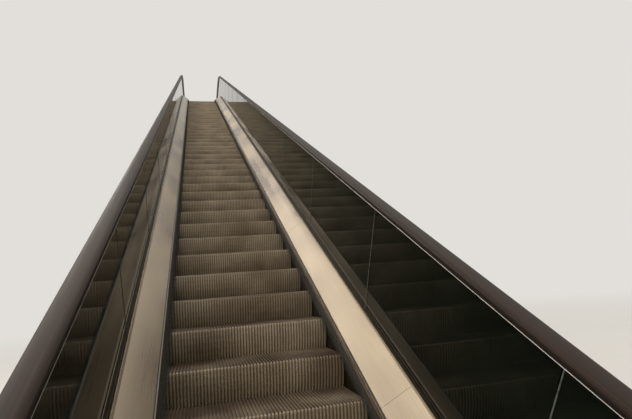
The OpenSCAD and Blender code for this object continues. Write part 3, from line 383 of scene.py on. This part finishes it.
def piece(name, points, faces, mats, index=None, smooth=False):
    """Makes one mesh object of whole arrays of points (n, 3) and faces (m, 3 or 4), each face's material by
    its index, and lets it ride on the escalator."""
    mesh = bpy.data.meshes.new(name)
    mesh.vertices.add(len(points))
    mesh.vertices.foreach_set("co", np.asarray(points, np.float32).ravel())
    faces = np.asarray(faces, np.int32)
    mesh.loops.add(faces.size)
    mesh.loops.foreach_set("vertex_index", faces.ravel())
    mesh.polygons.add(len(faces))
    mesh.polygons.foreach_set("loop_start", np.arange(0, faces.size, faces.shape[1], dtype=np.int32))
    mesh.polygons.foreach_set("loop_total", np.full(len(faces), faces.shape[1], np.int32))
    for m in mats:
        mesh.materials.append(m)
    if index is not None:
        mesh.polygons.foreach_set("material_index", np.asarray(index, np.int32))
    mesh.polygons.foreach_set("use_smooth", np.full(len(faces), smooth))
    mesh.update(calc_edges=True)
    mesh.validate()
    obj = bpy.data.objects.new(name, mesh)
    bpy.context.scene.collection.objects.link(obj)
    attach(obj, "root")
    return obj


def grid_faces(rows, cols, wrap_rows=False, wrap_cols=False):
    """Quads of a grid of points: each joins a point to the next in its row, and both to the row after."""
    r = np.arange(rows if wrap_rows else rows - 1)
    c = np.arange(cols if wrap_cols else cols - 1)
    i, j = np.meshgrid(r, c, indexing="ij")
    i1, j1 = (i + 1) % rows, (j + 1) % cols
    return np.stack([i * cols + j, i * cols + j1, i1 * cols + j1, i1 * cols + j], -1).reshape(-1, 4)


def tube_faces(rows, cols, caps=None):
    """Faces of a closed outline carried along a path, with both ends closed: each cap quad joins an outline
    point and the next one to the two that stand across from them, counted from the outline's other end."""
    if caps is None:
        i = np.arange(cols // 2 - 1)
        caps = np.stack([i, i + 1, cols - 2 - i, cols - 1 - i], 1)
    caps = np.asarray(caps)
    return np.vstack([grid_faces(rows, cols, wrap_cols=True), caps[:, ::-1], caps + (rows - 1) * cols])


def repeated(points, faces, moves):
    """One shape at every place of an array of moves (k, 3): its points moved, its faces counted on."""
    p = (points[None] + moves[:, None]).reshape(-1, 3)
    f = (faces[None] + (np.arange(len(moves)) * len(points))[:, None, None]).reshape(-1, faces.shape[1])
    return p, f


def slab(outline, x0, x1):
    """Points of an outline [y, z] at x0 and at x1, in turns."""
    return np.stack([np.stack([np.full(len(outline), x), *outline.T], 1) for x in (x0, x1)], 1).reshape(-1, 3)


def rounded(corners, closed=False, step=0.06):
    """Points and left normals along straight lines with arcs at their corners [y, z, radius], a point for
    each step of turn. Each arc touches both lines r tan(t/2) from the corner, where t is the turn."""
    out, normals = [], []
    n = len(corners)
    for i, (y, z, r) in enumerate(corners):
        p = np.array([y, z])
        if not closed and i in (0, n - 1):
            q = np.array(corners[1 if i == 0 else n - 2][:2])
            d = (q - p) if i == 0 else (p - q)
            d = d / np.linalg.norm(d)
            out.append(p[None])
            normals.append(np.array([[-d[1], d[0]]]))
            continue
        a = p - np.array(corners[i - 1][:2])
        b = np.array(corners[(i + 1) % n][:2]) - p
        ta, tb = math.atan2(a[1], a[0]), math.atan2(b[1], b[0])
        t = (tb - ta + math.pi) % (2 * math.pi) - math.pi
        start = p - a / np.linalg.norm(a) * r * math.tan(abs(t) / 2)
        turn = math.copysign(1, t)
        centre = start + turn * r * np.array([-math.sin(ta), math.cos(ta)])
        k = np.linspace(ta, ta + t, max(3, int(abs(t) / step) + 2))
        out.append(centre + turn * r * np.stack([np.sin(k), -np.cos(k)], 1))
        normals.append(np.stack([-np.sin(k), np.cos(k)], 1))
    return np.concatenate(out), np.concatenate(normals)


def divided(points, normals, longest, closed=False):
    """The same path with its long lines cut so that no part is longer than longest: each of their points and
    normals is taken in proportion to the length of path before it."""
    if closed:
        points, normals = np.vstack([points, points[:1]]), np.vstack([normals, normals[:1]])
    gap = np.linalg.norm(np.diff(points, axis=0), axis=1)
    s = np.concatenate([[0], np.cumsum(gap)])
    cuts = [np.linspace(a, b, int(math.ceil((b - a) / longest)) + 1)[:-1] for a, b in zip(s[:-1], s[1:])]
    t = np.concatenate(cuts + ([] if closed else [s[-1:]]))
    points, normals = (np.stack([np.interp(t, s, v[:, k]) for k in (0, 1)], 1) for v in (points, normals))
    return points, normals / np.linalg.norm(normals, axis=1, keepdims=True)


def carried(profile, points, normals, side):
    """A profile [x, height] carried along a path: each point is path + height * normal, at x to one side."""
    x, h = profile[:, 0], profile[:, 1]
    px = np.broadcast_to(side * x, (len(points), len(x)))
    py = points[:, :1] + normals[:, :1] * h
    pz = points[:, 1:] + normals[:, 1:] * h
    grid = np.stack([px, py, pz], -1)
    return grid if side > 0 else grid[:, ::-1]


def run_path(y0, y1, lift, longest):
    """The nose line lifted, from y0 to y1: level, low arc, slope, top arc, level."""
    corners = [[y0, TREAD_Z + lift, 0], [LOW_WORK_Y, TREAD_Z + lift, LOW_BEND],
               [TOP_WORK_Y, TOP_Z + lift, TOP_BEND], [y1, TOP_Z + lift, 0]]
    return divided(*rounded(corners), longest)


# Handrails: a rounded, hollow rubber section carried round the whole loop

RAIL_HALF_W, RAIL_HALF_T, FLATTENED = 0.0398, 0.0148, 0.667
LIPS, SKIN_POINTS = (-52, 232), 26  # angles of the two lips, and points of the skin from one to the other
RAIL_SLOT = [[-0.013, 0.0148], [-0.013, 0.0085], [-0.031, 0.0065], [-0.031, -0.0068],
             [0.031, -0.0068], [0.031, 0.0065], [0.013, 0.0085], [0.013, 0.0148]]


def handrail(side):
    """Section: an outer skin at x = 39.8 mm * cos(a)^(2/3) and height = -14.8 mm * sin(a)^(2/3), a flattened
    round, from one lip over the top to the other, and back inside as a slot for the guide. The path is a
    closed loop: the run, round each newel, down under the deck and back."""
    a = np.radians(np.linspace(*LIPS, SKIN_POINTS))
    c, s = np.cos(a), np.sin(a)
    skin = np.stack([RAIL_HALF_W * np.sign(c) * np.abs(c) ** FLATTENED,
                     -RAIL_HALF_T * np.sign(s) * np.abs(s) ** FLATTENED], 1)
    section = np.vstack([skin, RAIL_SLOT]) + [GLASS_X, 0]
    low, top = LOW_NEWEL_Y + RAIL_T / 2, TOP_NEWEL_Y - RAIL_T / 2
    low_in, top_in = LOW_NEWEL_Y + NEWEL_R, TOP_NEWEL_Y - NEWEL_R
    corners = [
        [low, TREAD_Z + RAIL_Z, NEWEL_C], [low, TREAD_Z + ENTRY_Z, NEWEL_C],
        [low_in + DIVE_START, TREAD_Z + ENTRY_Z, DIVE_R], [low_in + DIVE_END, TREAD_Z + HIDDEN_Z, DIVE_R],
        [LOW_WORK_Y, TREAD_Z + HIDDEN_Z, LOW_BEND], [TOP_WORK_Y, TOP_Z + HIDDEN_Z, TOP_BEND],
        [top_in - DIVE_END, TOP_Z + HIDDEN_Z, DIVE_R], [top_in - DIVE_START, TOP_Z + ENTRY_Z, DIVE_R],
        [top, TOP_Z + ENTRY_Z, NEWEL_C], [top, TOP_Z + RAIL_Z, NEWEL_C],
        [TOP_WORK_Y, TOP_Z + RAIL_Z, TOP_BEND], [LOW_WORK_Y, TREAD_Z + RAIL_Z, LOW_BEND]]
    grid = carried(section, *divided(*rounded(corners, closed=True), LONGEST, closed=True), side)
    name = "handrail_" + SIDES[side]
    obj = piece(name + "_rubber", grid.reshape(-1, 3), grid_faces(*grid.shape[:2], True, True), [RUBBER],
                smooth=True)
    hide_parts(name)


for side in SIDES:
    handrail(side)


# Steps: cleats as fine as the real ones

FRAME_OUTLINE = np.array([[0.0166, -0.022], [0.384, -0.022], [0.344, -0.0997], [0.31, -0.0997],
                          [0.121, -0.264], [0.077, -0.264], [0.0696, -0.2], [0.0344, -0.12]])
FRAME_SIDE = np.array([[0, 1, 2, 7], [2, 3, 6, 7], [3, 4, 5, 6]])
RISER_ROWS, TREAD_ROW = 6, 8  # rows of the riser's face, and the first row that shoes wear
RISER_WALL = (0.0146, 0.0156)  # behind the grooves, at its foot and at its top
UNDERSIDE = [[0.0243, -0.0225], [0.025, -0.0222], [0.0258, -0.022], [0.027, -0.022], [0.2, -0.022],
             [0.393, -0.022], [0.394, -0.022]]  # of the tread, from the riser to its back edge
RISER_FOOT_Y = 0.0792  # where the strip under the riser ends, inside
BOTTOM_STEPS = TOP_STEPS = 4  # steps of the two landing nodes


def step_section(depth):
    """Outline [y, z] of a step's face at a depth: up the riser, whose radius is one pitch about the tread's
    back edge, y = pitch - sqrt(r^2 - z^2), round a 9 mm nose, along the tread and down its back."""
    r = PITCH - depth
    z = -np.array([RISER_H, 0.16, 0.12, 0.08, 0.045, 0.018])
    riser = np.stack([PITCH - np.sqrt(r * r - z * z), z], 1)
    a = np.radians([168, 140, 115, 92])
    nose = np.stack([depth + NOSE_R + NOSE_R * np.cos(a), -depth - NOSE_R + NOSE_R * np.sin(a)], 1)
    back = PITCH - TREAD_GAP
    return np.vstack([riser, nose, [[PITCH / 2, -depth], [back, -depth], [back, -TREAD_T]]])


def step_columns():
    """Place across and depth of each column of a step's face: four for each cleat, deep, high, high and deep,
    so that each pitch has a cleat top, a side, a groove and a side, and a deep one at each end."""
    x0 = FIRST_CLEAT_X + np.arange(GROOVE_COUNT + 1) * CLEAT_PITCH
    xs = np.stack([x0, x0, x0 + CLEAT_W, x0 + CLEAT_W], 1).ravel()
    deep = np.tile([True, False, False, True], GROOVE_COUNT + 1)
    return np.concatenate([[-STEP_W / 2], xs, [STEP_W / 2]]), np.concatenate([[True], deep, [True]])


def step_mesh():
    """One step as arrays: its face, a cleat's or a groove's section in each column; a strip under the riser;
    a back 22 to 26 mm inside, with the two ends; and its two side frames."""
    cleat, groove = step_section(0.0), step_section(CLEAT_D)
    xs, deep = step_columns()
    rows, cols = len(cleat), len(xs)
    face = np.where(deep[None, :, None], groove[:, None], cleat[:, None])
    grid = np.concatenate([np.broadcast_to(xs, (rows, cols))[..., None], face], -1)
    foot = np.stack([xs, np.full(cols, RISER_FOOT_Y), np.full(cols, -RISER_H)], 1)
    inward = np.stack([np.linspace(*RISER_WALL, RISER_ROWS), np.zeros(RISER_ROWS)], 1)
    inside = np.concatenate([groove[:RISER_ROWS] + inward, UNDERSIDE])
    back = [np.stack([np.full(rows, x), *inside.T], 1) for x in (xs[0], xs[-1])]
    shell = [grid.reshape(-1, 3), foot, *back]
    n = rows * cols
    i, j = np.arange(cols - 1), np.arange(rows - 1)
    left, right, back_l, back_r = j * cols, (j + 1) * cols - 1, n + cols + j, n + cols + rows + j
    quads = [grid_faces(rows, cols), np.stack([n + i, n + i + 1, i + 1, i], 1),
             np.stack([left, left + cols, back_l + 1, back_l], 1),
             np.stack([right, back_r, back_r + 1, right + cols], 1),
             np.stack([back_l, back_l + 1, back_r + 1, back_r], 1)]
    # Groove faces carry painted shade on the riser and nose, and painted light on the tread
    grooved = np.tile(i % 4 != 2, rows - 1)
    worn = np.repeat(j >= TREAD_ROW, cols - 1)
    index = [grooved + 2 * worn, np.ones(cols - 1 + 3 * (rows - 1), int)]
    base = n + cols + 2 * rows
    for x in (-YOKE_X - YOKE_T, YOKE_X):
        shell.append(slab(FRAME_OUTLINE, x, x + YOKE_T))
        quads += [grid_faces(len(FRAME_OUTLINE), 2, wrap_rows=True) + base,
                  np.vstack([FRAME_SIDE * 2, FRAME_SIDE[:, ::-1] * 2 + 1]) + base]
        index.append(np.ones(len(FRAME_OUTLINE) + 2 * len(FRAME_SIDE), int))
        base += 2 * len(FRAME_OUTLINE)
    return np.vstack(shell), np.vstack(quads), np.concatenate(index)


def steps():
    """Every step is the same mesh moved to its nose place; each CAD node's steps are one piece."""
    points, faces, index = step_mesh()
    total = len(NOSES)
    share = (total - BOTTOM_STEPS - TOP_STEPS) // 3
    starts = [0, BOTTOM_STEPS, BOTTOM_STEPS + share, BOTTOM_STEPS + 2 * share, total - TOP_STEPS, total]
    names = ("steps_lower", "steps_run_1", "steps_run_2", "steps_run_3", "steps_upper")
    for name, a, b in zip(names, starts[:-1], starts[1:]):
        p, f = repeated(points, faces, np.concatenate([np.zeros((b - a, 1)), NOSES[a:b]], 1))
        obj = piece(name + "_cleated", p, f, [CLEAT_TOPS, GROOVES_PAINTED_SHADE, TREADS, TREAD_GROOVES_PAINTED_LIGHT],
                    np.tile(index, b - a))
        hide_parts(name)


steps()


# Long profiles: a closed outline carried along the run

def long_profile(name, profile, y0, y1, lift, side, finish):
    """A closed outline [x, height] carried along the run between y0 and y1, with its two ends capped."""
    grid = carried(np.array(profile), *run_path(y0, y1, lift, LONGEST), side)
    obj = piece(name, grid.reshape(-1, 3), tube_faces(*grid.shape[:2]), [finish])
    return obj


# Skirt brushes: an aluminium holder with two rows of bristle tufts

BRUSH_HOLDER = [[0.5038, 0.028], [0.49, 0.031], [0.4885, 0.034], [0.4885, 0.047], [0.4905, 0.05],
                [0.498, 0.058], [0.5038, 0.0595], [0.5038, 0.045]]
TUFT_ROWS = (([0.4895, 0.0445], [0.4505, 0.0225]), ([0.4895, 0.036], [0.4525, 0.0185]))  # roots and tips
TUFT_STEP, TUFT_HALF_W, TUFT_T = 0.006, 0.0026, 0.003


def brush(side):
    """The holder is a small section carried along the run. A tuft is a thin bundle of bristles, a wedge of
    four points that narrows from the holder to its tip: two roots side by side along the run, the tip, and a
    root below them. Tufts stand every 5 to 6 mm in two rows, and each tip strays by up to 3 mm."""
    name = "brush_" + SIDES[side]
    holder = long_profile(name + "_holder", BRUSH_HOLDER, TRIM_LOW_Y, TRIM_TOP_Y, 0, side, HOLDER)
    path, normals = run_path(TRIM_LOW_Y, TRIM_TOP_Y, 0, TUFT_STEP)
    tangents = np.stack([normals[:, 1], -normals[:, 0]], 1)
    rng = np.random.default_rng(7)
    n = len(path)
    rows = []
    for root, tip in TUFT_ROWS:
        x, h = np.full((n, 4), root[0]), np.full((n, 4), root[1])
        along = np.tile([-TUFT_HALF_W, TUFT_HALF_W, 0.0, 0.0], (n, 1))
        x[:, 2] = tip[0] + rng.uniform(0, 0.003, n)
        h[:, 2] = tip[1] + rng.uniform(-0.001, 0.001, n)
        along[:, 2] += rng.uniform(-0.002, 0.002, n)
        h[:, 3] -= TUFT_T
        y, z = (path[:, k:k + 1] + normals[:, k:k + 1] * h + tangents[:, k:k + 1] * along for k in (0, 1))
        rows.append(np.stack([side * x, y, z], -1).reshape(-1, 3))
    p = np.vstack(rows)
    first = np.arange(len(p) // 4)[:, None] * 4
    f = np.concatenate([first + v for v in ([0, 1, 2], [1, 3, 2], [3, 0, 2], [0, 3, 1])])
    tufts = piece(name + "_bristles", p, f if side > 0 else f[:, ::-1], [BRISTLE])
    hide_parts(name)


for side in SIDES:
    brush(side)


# Seals, deck edges, skirt trims and handrail guides: long profiles carried along the run

SEAL_LIP = [[0.6572, 0.0865], [0.6572, 0.0985], [0.6678, 0.0988], [0.669, 0.1035], [0.6735, 0.1058],
            [0.6778, 0.1065], [0.6778, 0.1022], [0.67, 0.1021], [0.6689, 0.0975], [0.6689, 0.0865]]
DECK_EDGE = [[0.6572, 0.0988], [0.6572, 0.1022], [0.6585, 0.1036], [0.6615, 0.1048], [0.6645, 0.1046],
             [0.6668, 0.1034], [0.6676, 0.1012], [0.6676, 0.0988]]
SKIRT_TRIM = [[0.4972, -0.0075], [0.4962, -0.006], [0.4962, -0.003], [0.4975, -0.0015], [0.5037, -0.001],
              [0.5037, -0.0075]]
GUIDE_HALF = np.array([
    [0.0295, -0.0066], [0.0295, 0.0063], [0.012, 0.0082], [0.012, 0.0152], [0.0385, 0.0154], [0.0392, 0.0164],
    [0.0385, 0.0178], [0.0085, 0.0186], [0.0072, 0.0305], [0.0062, 0.0305], [0.0062, 0.0212]])
GUIDE_CAPS = [[i, i + 1, 20 - i, 21 - i] for i in range(7)]  # across the groove's two halves
GUIDE_CAPS += [[7, 8, 9, 10], [7, 10, 11, 14], [11, 12, 13, 14]]


def foot_of_glass(side):
    """A rubber lip that leans on the glass, over the clamp, and the rolled edge of the inner deck, coloured
    lighter than the deck as a painted highlight.
    """
    name = SIDES[side]
    seal = long_profile("deck_seal_%s_lip" % name, SEAL_LIP, CLAMP_LOW_Y, CLAMP_TOP_Y, DECK_Z, side, SEAL)
    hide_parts("deck_seal_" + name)
    long_profile("deck_edge_" + name, DECK_EDGE, CLAMP_LOW_Y, CLAMP_TOP_Y, DECK_Z, side, EDGE_PAINTED_HIGHLIGHT)
    long_profile("skirt_trim_" + name, SKIRT_TRIM, TRIM_LOW_Y, TRIM_TOP_Y, DECK_Z, side, TRIM)


def handrail_guide(side):
    """The drawn guide on the glass edge: a groove of 14 mm over the pane, a flange just narrower than the
    handrail, whose edge shows below it, and a head inside it; carried round the newels with the handrail."""
    name = "handrail_guide_" + SIDES[side]
    low, top = LOW_NEWEL_Y + RAIL_T / 2, TOP_NEWEL_Y - RAIL_T / 2
    corners = [
        [TOP_NEWEL_Y - NEWEL_R, TOP_Z + ENTRY_Z, 0], [top, TOP_Z + ENTRY_Z, NEWEL_C],
        [top, TOP_Z + RAIL_Z, NEWEL_C], [TOP_WORK_Y, TOP_Z + RAIL_Z, TOP_BEND],
        [LOW_WORK_Y, TREAD_Z + RAIL_Z, LOW_BEND], [low, TREAD_Z + RAIL_Z, NEWEL_C],
        [low, TREAD_Z + ENTRY_Z, NEWEL_C], [LOW_NEWEL_Y + NEWEL_R, TREAD_Z + ENTRY_Z, 0]]
    section = np.vstack([GUIDE_HALF * [-1, 1], GUIDE_HALF[::-1]]) + [GLASS_X, 0]
    grid = carried(section, *divided(*rounded(corners), LONGEST), side)
    obj = piece(name + "_drawn", grid.reshape(-1, 3), tube_faces(*grid.shape[:2], GUIDE_CAPS), [TRIM])
    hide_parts(name)


# Silicone strips between the panes

PANE_FOOT, PANE_HEAD = DECK_Z + 0.04, RAIL_Z - 0.021  # edges of the panes over the nose line
STRIP_FOOT, STRIP_HEAD = 0.104, -0.0315  # ends of a strip over the deck's and the handrail's line
STRIP_X = (0.6764, 0.6916)  # its faces, 1.6 mm proud of the pane
STRIP_BOX = np.array([[0, 1, 2, 3], [7, 6, 5, 4], [0, 4, 5, 1], [1, 5, 6, 2], [2, 6, 7, 3], [3, 7, 4, 0]])


def glass_joints(side):
    """At each joint a flat bar 5 mm wide stands 1.6 mm proud of both faces of the glass, from the clamp to
    the guide, square to the slope and upright on the landings: its head lies back from its foot by the pane's
    height times sin(slope) cos(slope), less within the bends in proportion."""
    y0, y1 = CLAMP_LOW_Y + PANE_LEN / 2, CLAMP_TOP_Y - PANE_LEN / 2
    panes = math.ceil((y1 - y0) / PANE_LEN)
    foot = y0 + (y1 - y0) * np.arange(panes + 1) / panes
    into = np.clip((foot - LOW_WORK_Y + LOW_TANGENT) / (2 * LOW_TANGENT), 0, 1)
    out = np.clip((TOP_WORK_Y + TOP_TANGENT - foot) / (2 * TOP_TANGENT), 0, 1)
    head = foot - (PANE_HEAD - PANE_FOOT) * math.sin(SLOPE) * math.cos(SLOPE) * into * out
    ends = []
    for y, lift, off in ((foot, DECK_Z, STRIP_FOOT), (head, RAIL_Z, STRIP_HEAD)):
        path, normals = run_path(0.0, 26.0, lift, 0.2)  # from before the glass to past it
        line = path + normals * off
        ends.append(np.stack([y, np.interp(y, line[:, 0], line[:, 1])], 1))
    along = ends[1] - ends[0]
    along /= np.linalg.norm(along, axis=1, keepdims=True)
    across = np.stack([along[:, 1], -along[:, 0]], 1) * (JOINT_W / 2)
    inner, outer = STRIP_X
    ring = [np.concatenate([np.full((len(end), 1), side * x), end + across * k], 1)
            for end in ends for x, k in ((inner, -1), (inner, 1), (outer, 1), (outer, -1))]
    f = STRIP_BOX if side > 0 else STRIP_BOX[:, ::-1]
    f = (f[None] + (np.arange(panes + 1) * len(ring))[:, None, None]).reshape(-1, 4)
    obj = piece("glass_joints_" + SIDES[side], np.stack(ring, 1).reshape(-1, 3), f, [JOINT])


for side in SIDES:
    foot_of_glass(side)
    handrail_guide(side)
    glass_joints(side)


# Combs: teeth as fine as the cleats, in the same places

TOOTH_PLAY = 0.0022  # on each side of a tooth in its groove
TOOTH = np.array([[-0.02, 0.0155], [0.01, 0.014], [0.118, -0.004], [0.1285, -0.0082], [0.129, -0.0095],
                  [0.12, -0.0105], [0.0, 0.002], [-0.02, 0.002]])
TOOTH_SIDE = np.array([[0, 1, 6, 7], [1, 2, 5, 6], [2, 3, 4, 5]])
CHAMFER = 0.0025
PLATE = np.array([[-COMB_LEN, 0.0], [-CHAMFER, 0.0], [0.0, 0.0], [0.0, COMB_T - CHAMFER], [-CHAMFER, COMB_T],
                  [-COMB_LEN, COMB_T]])
PLATE_SIDE = np.array([[0, 1, 4, 5], [1, 2, 3, 4]])


def comb(name, y, z, way):
    """Tooth section along the walk, carried over each groove's width: from the plate down into the groove and
    back; the plate is a chamfered sheet with the same outline as the CAD plate. The upper comb is the lower
    one turned half round, so its x and y change sign."""
    x = FIRST_CLEAT_X + CLEAT_W + TOOTH_PLAY + np.arange(GROOVE_COUNT) * CLEAT_PITCH
    tooth = slab(TOOTH, 0, CLEAT_PITCH - CLEAT_W - 2 * TOOTH_PLAY)
    faces = np.vstack([grid_faces(len(TOOTH), 2, wrap_rows=True), TOOTH_SIDE * 2,
                       TOOTH_SIDE[:, ::-1] * 2 + 1])
    p, f = repeated(tooth, faces, np.stack([x, 0 * x, 0 * x], 1))
    plate = np.vstack([grid_faces(len(PLATE), 2, wrap_rows=True)[:, ::-1], PLATE_SIDE[:, ::-1] * 2,
                       PLATE_SIDE * 2 + 1])
    p = np.vstack([p, slab(PLATE, -SKIRT_X, SKIRT_X)]) * [way, way, 1] + [0, y, z]
    obj = piece(name + "_fine", p, np.vstack([f, plate + len(p) - 2 * len(PLATE)]), [COMB])
    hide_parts(name)


comb("comb_lower", LOW_COMB_Y, TREAD_Z + COMB_LIFT, 1)
comb("comb_upper", TOP_COMB_Y, TOP_Z + COMB_LIFT, -1)


# Camera: it stands on the run and looks up it

FOCAL_PX, PICTURE_PX = 480.04, 632  # focal length and picture width in pixels
YAW, PITCH_UP, ROLL = 0.2442, 0.1598, -0.0767
EYE_X, EYE_BEFORE, EYE_OVER = -0.282, 2.7424, 0.3885  # before and over a step's nose
NOSE_AHEAD = 3.0  # that step is about this far past the lower bend's corner


def placed(obj, axes, place):
    """Turns a camera's or lamp's own x, y and z to three directions and puts it at a place."""
    m = np.eye(4)
    m[:3, :3], m[:3, 3] = np.array(axes).T, place
    obj.matrix_world = Matrix(m.tolist())
    bpy.context.scene.collection.objects.link(obj)


def camera():
    """A camera left of the middle, about 1.8 m over the steps below it. It looks along (sin(yaw) cos(pitch),
    cos(yaw) cos(pitch), sin(pitch)), and its right and up are turned by the roll about that line."""
    nose = NOSES[np.argmin(np.abs(NOSES[:, 0] - LOW_WORK_Y - NOSE_AHEAD))]
    level = np.array([math.cos(YAW), -math.sin(YAW), 0.0])
    ahead = np.array([math.sin(YAW) * math.cos(PITCH_UP), math.cos(YAW) * math.cos(PITCH_UP),
                      math.sin(PITCH_UP)])
    over = np.cross(level, ahead)
    right = math.cos(ROLL) * level + math.sin(ROLL) * over
    up = -math.sin(ROLL) * level + math.cos(ROLL) * over
    data = bpy.data.cameras.new("view_up_the_run")
    data.sensor_width = 36.0
    data.lens = FOCAL_PX * data.sensor_width / PICTURE_PX
    data.clip_start, data.clip_end = 0.02, 600
    obj = bpy.data.objects.new("view_up_the_run", data)
    placed(obj, (right, up, -ahead), (EYE_X, nose[0] - EYE_BEFORE, nose[1] + EYE_OVER))
    bpy.context.scene.camera = obj


camera()


# Floor, lamps and pale surroundings

BACKDROP = "#e2dfda"
FLOOR_EDGES = (-200, -190, 200, 210)  # x and y of its corners
FLOOR_MIDDLE_Y = 12.0
BLEND_START, BLEND_END = 18.0, 70.0  # from the floor's own colour to the backdrop's


def seen(t):
    """1 for rays that show the surroundings: to the camera, through glass and off gloss."""
    path = add(t, "LightPath")
    most = path["Is Camera Ray"]
    for kind in ("Is Transmission Ray", "Is Glossy Ray"):
        most = add(t, "Math", {"operation": "MAXIMUM"}, _0=most, _1=path[kind])[0]
    return most


def pale_floor(middle):
    """A plain pale screed that keeps the object's shadow, and goes over into the backdrop's own colour
    between 18 m and 70 m from the middle, so that no horizon shows."""
    m, t, shader, coords = material("studio_floor_pale", Roughness=0.9)
    tone = add(t, "TexNoise", Vector=coords, Scale=0.4, Detail=2, Roughness=FADE)["Fac"]  # over 2.5 m
    plug(t, shader, Base_Color=add(t, "ValToRGB", stops=((0.3, "#e4e1dc"), (0.7, "#e6e3de")), Fac=tone)[0])
    away = add(t, "VectorMath", {"operation": "DISTANCE"}, _0=coords, _1=middle)["Value"]
    far = add(t, "MapRange", {"interpolation_type": "SMOOTHSTEP"}, Value=away, From_Min=BLEND_START,
              From_Max=BLEND_END)[0]
    part = add(t, "Math", {"operation": "MULTIPLY"}, _0=far, _1=seen(t))[0]
    glow = add(t, "Emission", Color=linear(BACKDROP), Strength=1.0)[0]
    both = add(t, "MixShader", _0=part, _1=shader.outputs[0], _2=glow)[0]
    plug(t, t.nodes["Material Output"], Surface=both)
    return m


def floor():
    """A wide plain floor, 2 mm under the object."""
    mesh = bpy.data.meshes.new("studio_floor")
    z = float(cad_box[0][2]) - 0.002
    x0, y0, x1, y1 = FLOOR_EDGES
    mesh.from_pydata([(x0, y0, z), (x1, y0, z), (x1, y1, z), (x0, y1, z)], [], [(0, 1, 2, 3)])
    mesh.materials.append(pale_floor((0.0, FLOOR_MIDDLE_Y, z)))
    obj = bpy.data.objects.new("studio_floor", mesh)
    bpy.context.scene.collection.objects.link(obj)


def surroundings():
    """A world that is lighter from the left: its strength goes from 1.6 at the left, X = -1, to 0.2 at the
    right. Where it is seen itself, it is the plain backdrop."""
    world = bpy.data.worlds.new("studio")
    bpy.context.scene.world = world
    world.use_nodes = True
    t = world.node_tree
    t.nodes.clear()
    across = add(t, "SeparateXYZ", Vector=add(t, "TexCoord")["Generated"])[0]
    soft = add(t, "MapRange", Value=across, From_Min=-1.0, From_Max=1.0, To_Min=1.6, To_Max=0.2)[0]
    dim = add(t, "Background", Color=linear("#f7f4ef"), Strength=soft)[0]
    bright = add(t, "Background", Color=linear(BACKDROP), Strength=1.0)[0]
    both = add(t, "MixShader", _0=seen(t), _1=dim, _2=bright)[0]
    add(t, "OutputWorld", Surface=both)


def lamp(name, size, place, look, watts, along=(0, math.cos(SLOPE), math.sin(SLOPE))):
    """A soft rectangular lamp at a place, turned to look at a point, its second side along a direction: z is
    away from the point, x = along cross z, y = z cross x."""
    data = bpy.data.lights.new(name, "AREA")
    data.shape = "RECTANGLE"
    data.size, data.size_y = size
    data.energy = watts
    data.color = linear("#fff8f0")[:3]
    away = np.array(place) - look
    z = away / np.linalg.norm(away)
    x = np.cross(along, z)
    x /= np.linalg.norm(x)
    placed(bpy.data.objects.new(name, data), (x, np.cross(z, x), z), place)


floor()
surroundings()
mid_y, mid_z = (LOW_WORK_Y + TOP_WORK_Y) / 2, TREAD_Z + RISE / 2
lamp("lamp_left", (3.0, 22.0), (-7.5, mid_y + 2.0, mid_z + 7.5), (0, mid_y + 2.0, mid_z + 1.0), 1300)
lamp("lamp_right", (2.0, 22.0), (7.0, mid_y, mid_z + 6.0), (0, mid_y, mid_z), 120)
lamp("lamp_behind", (20.0, 16.0), (-9.0, -18.0, 19.0), (0, 13.0, 6.0), 4200, along=(0, 1, 0))
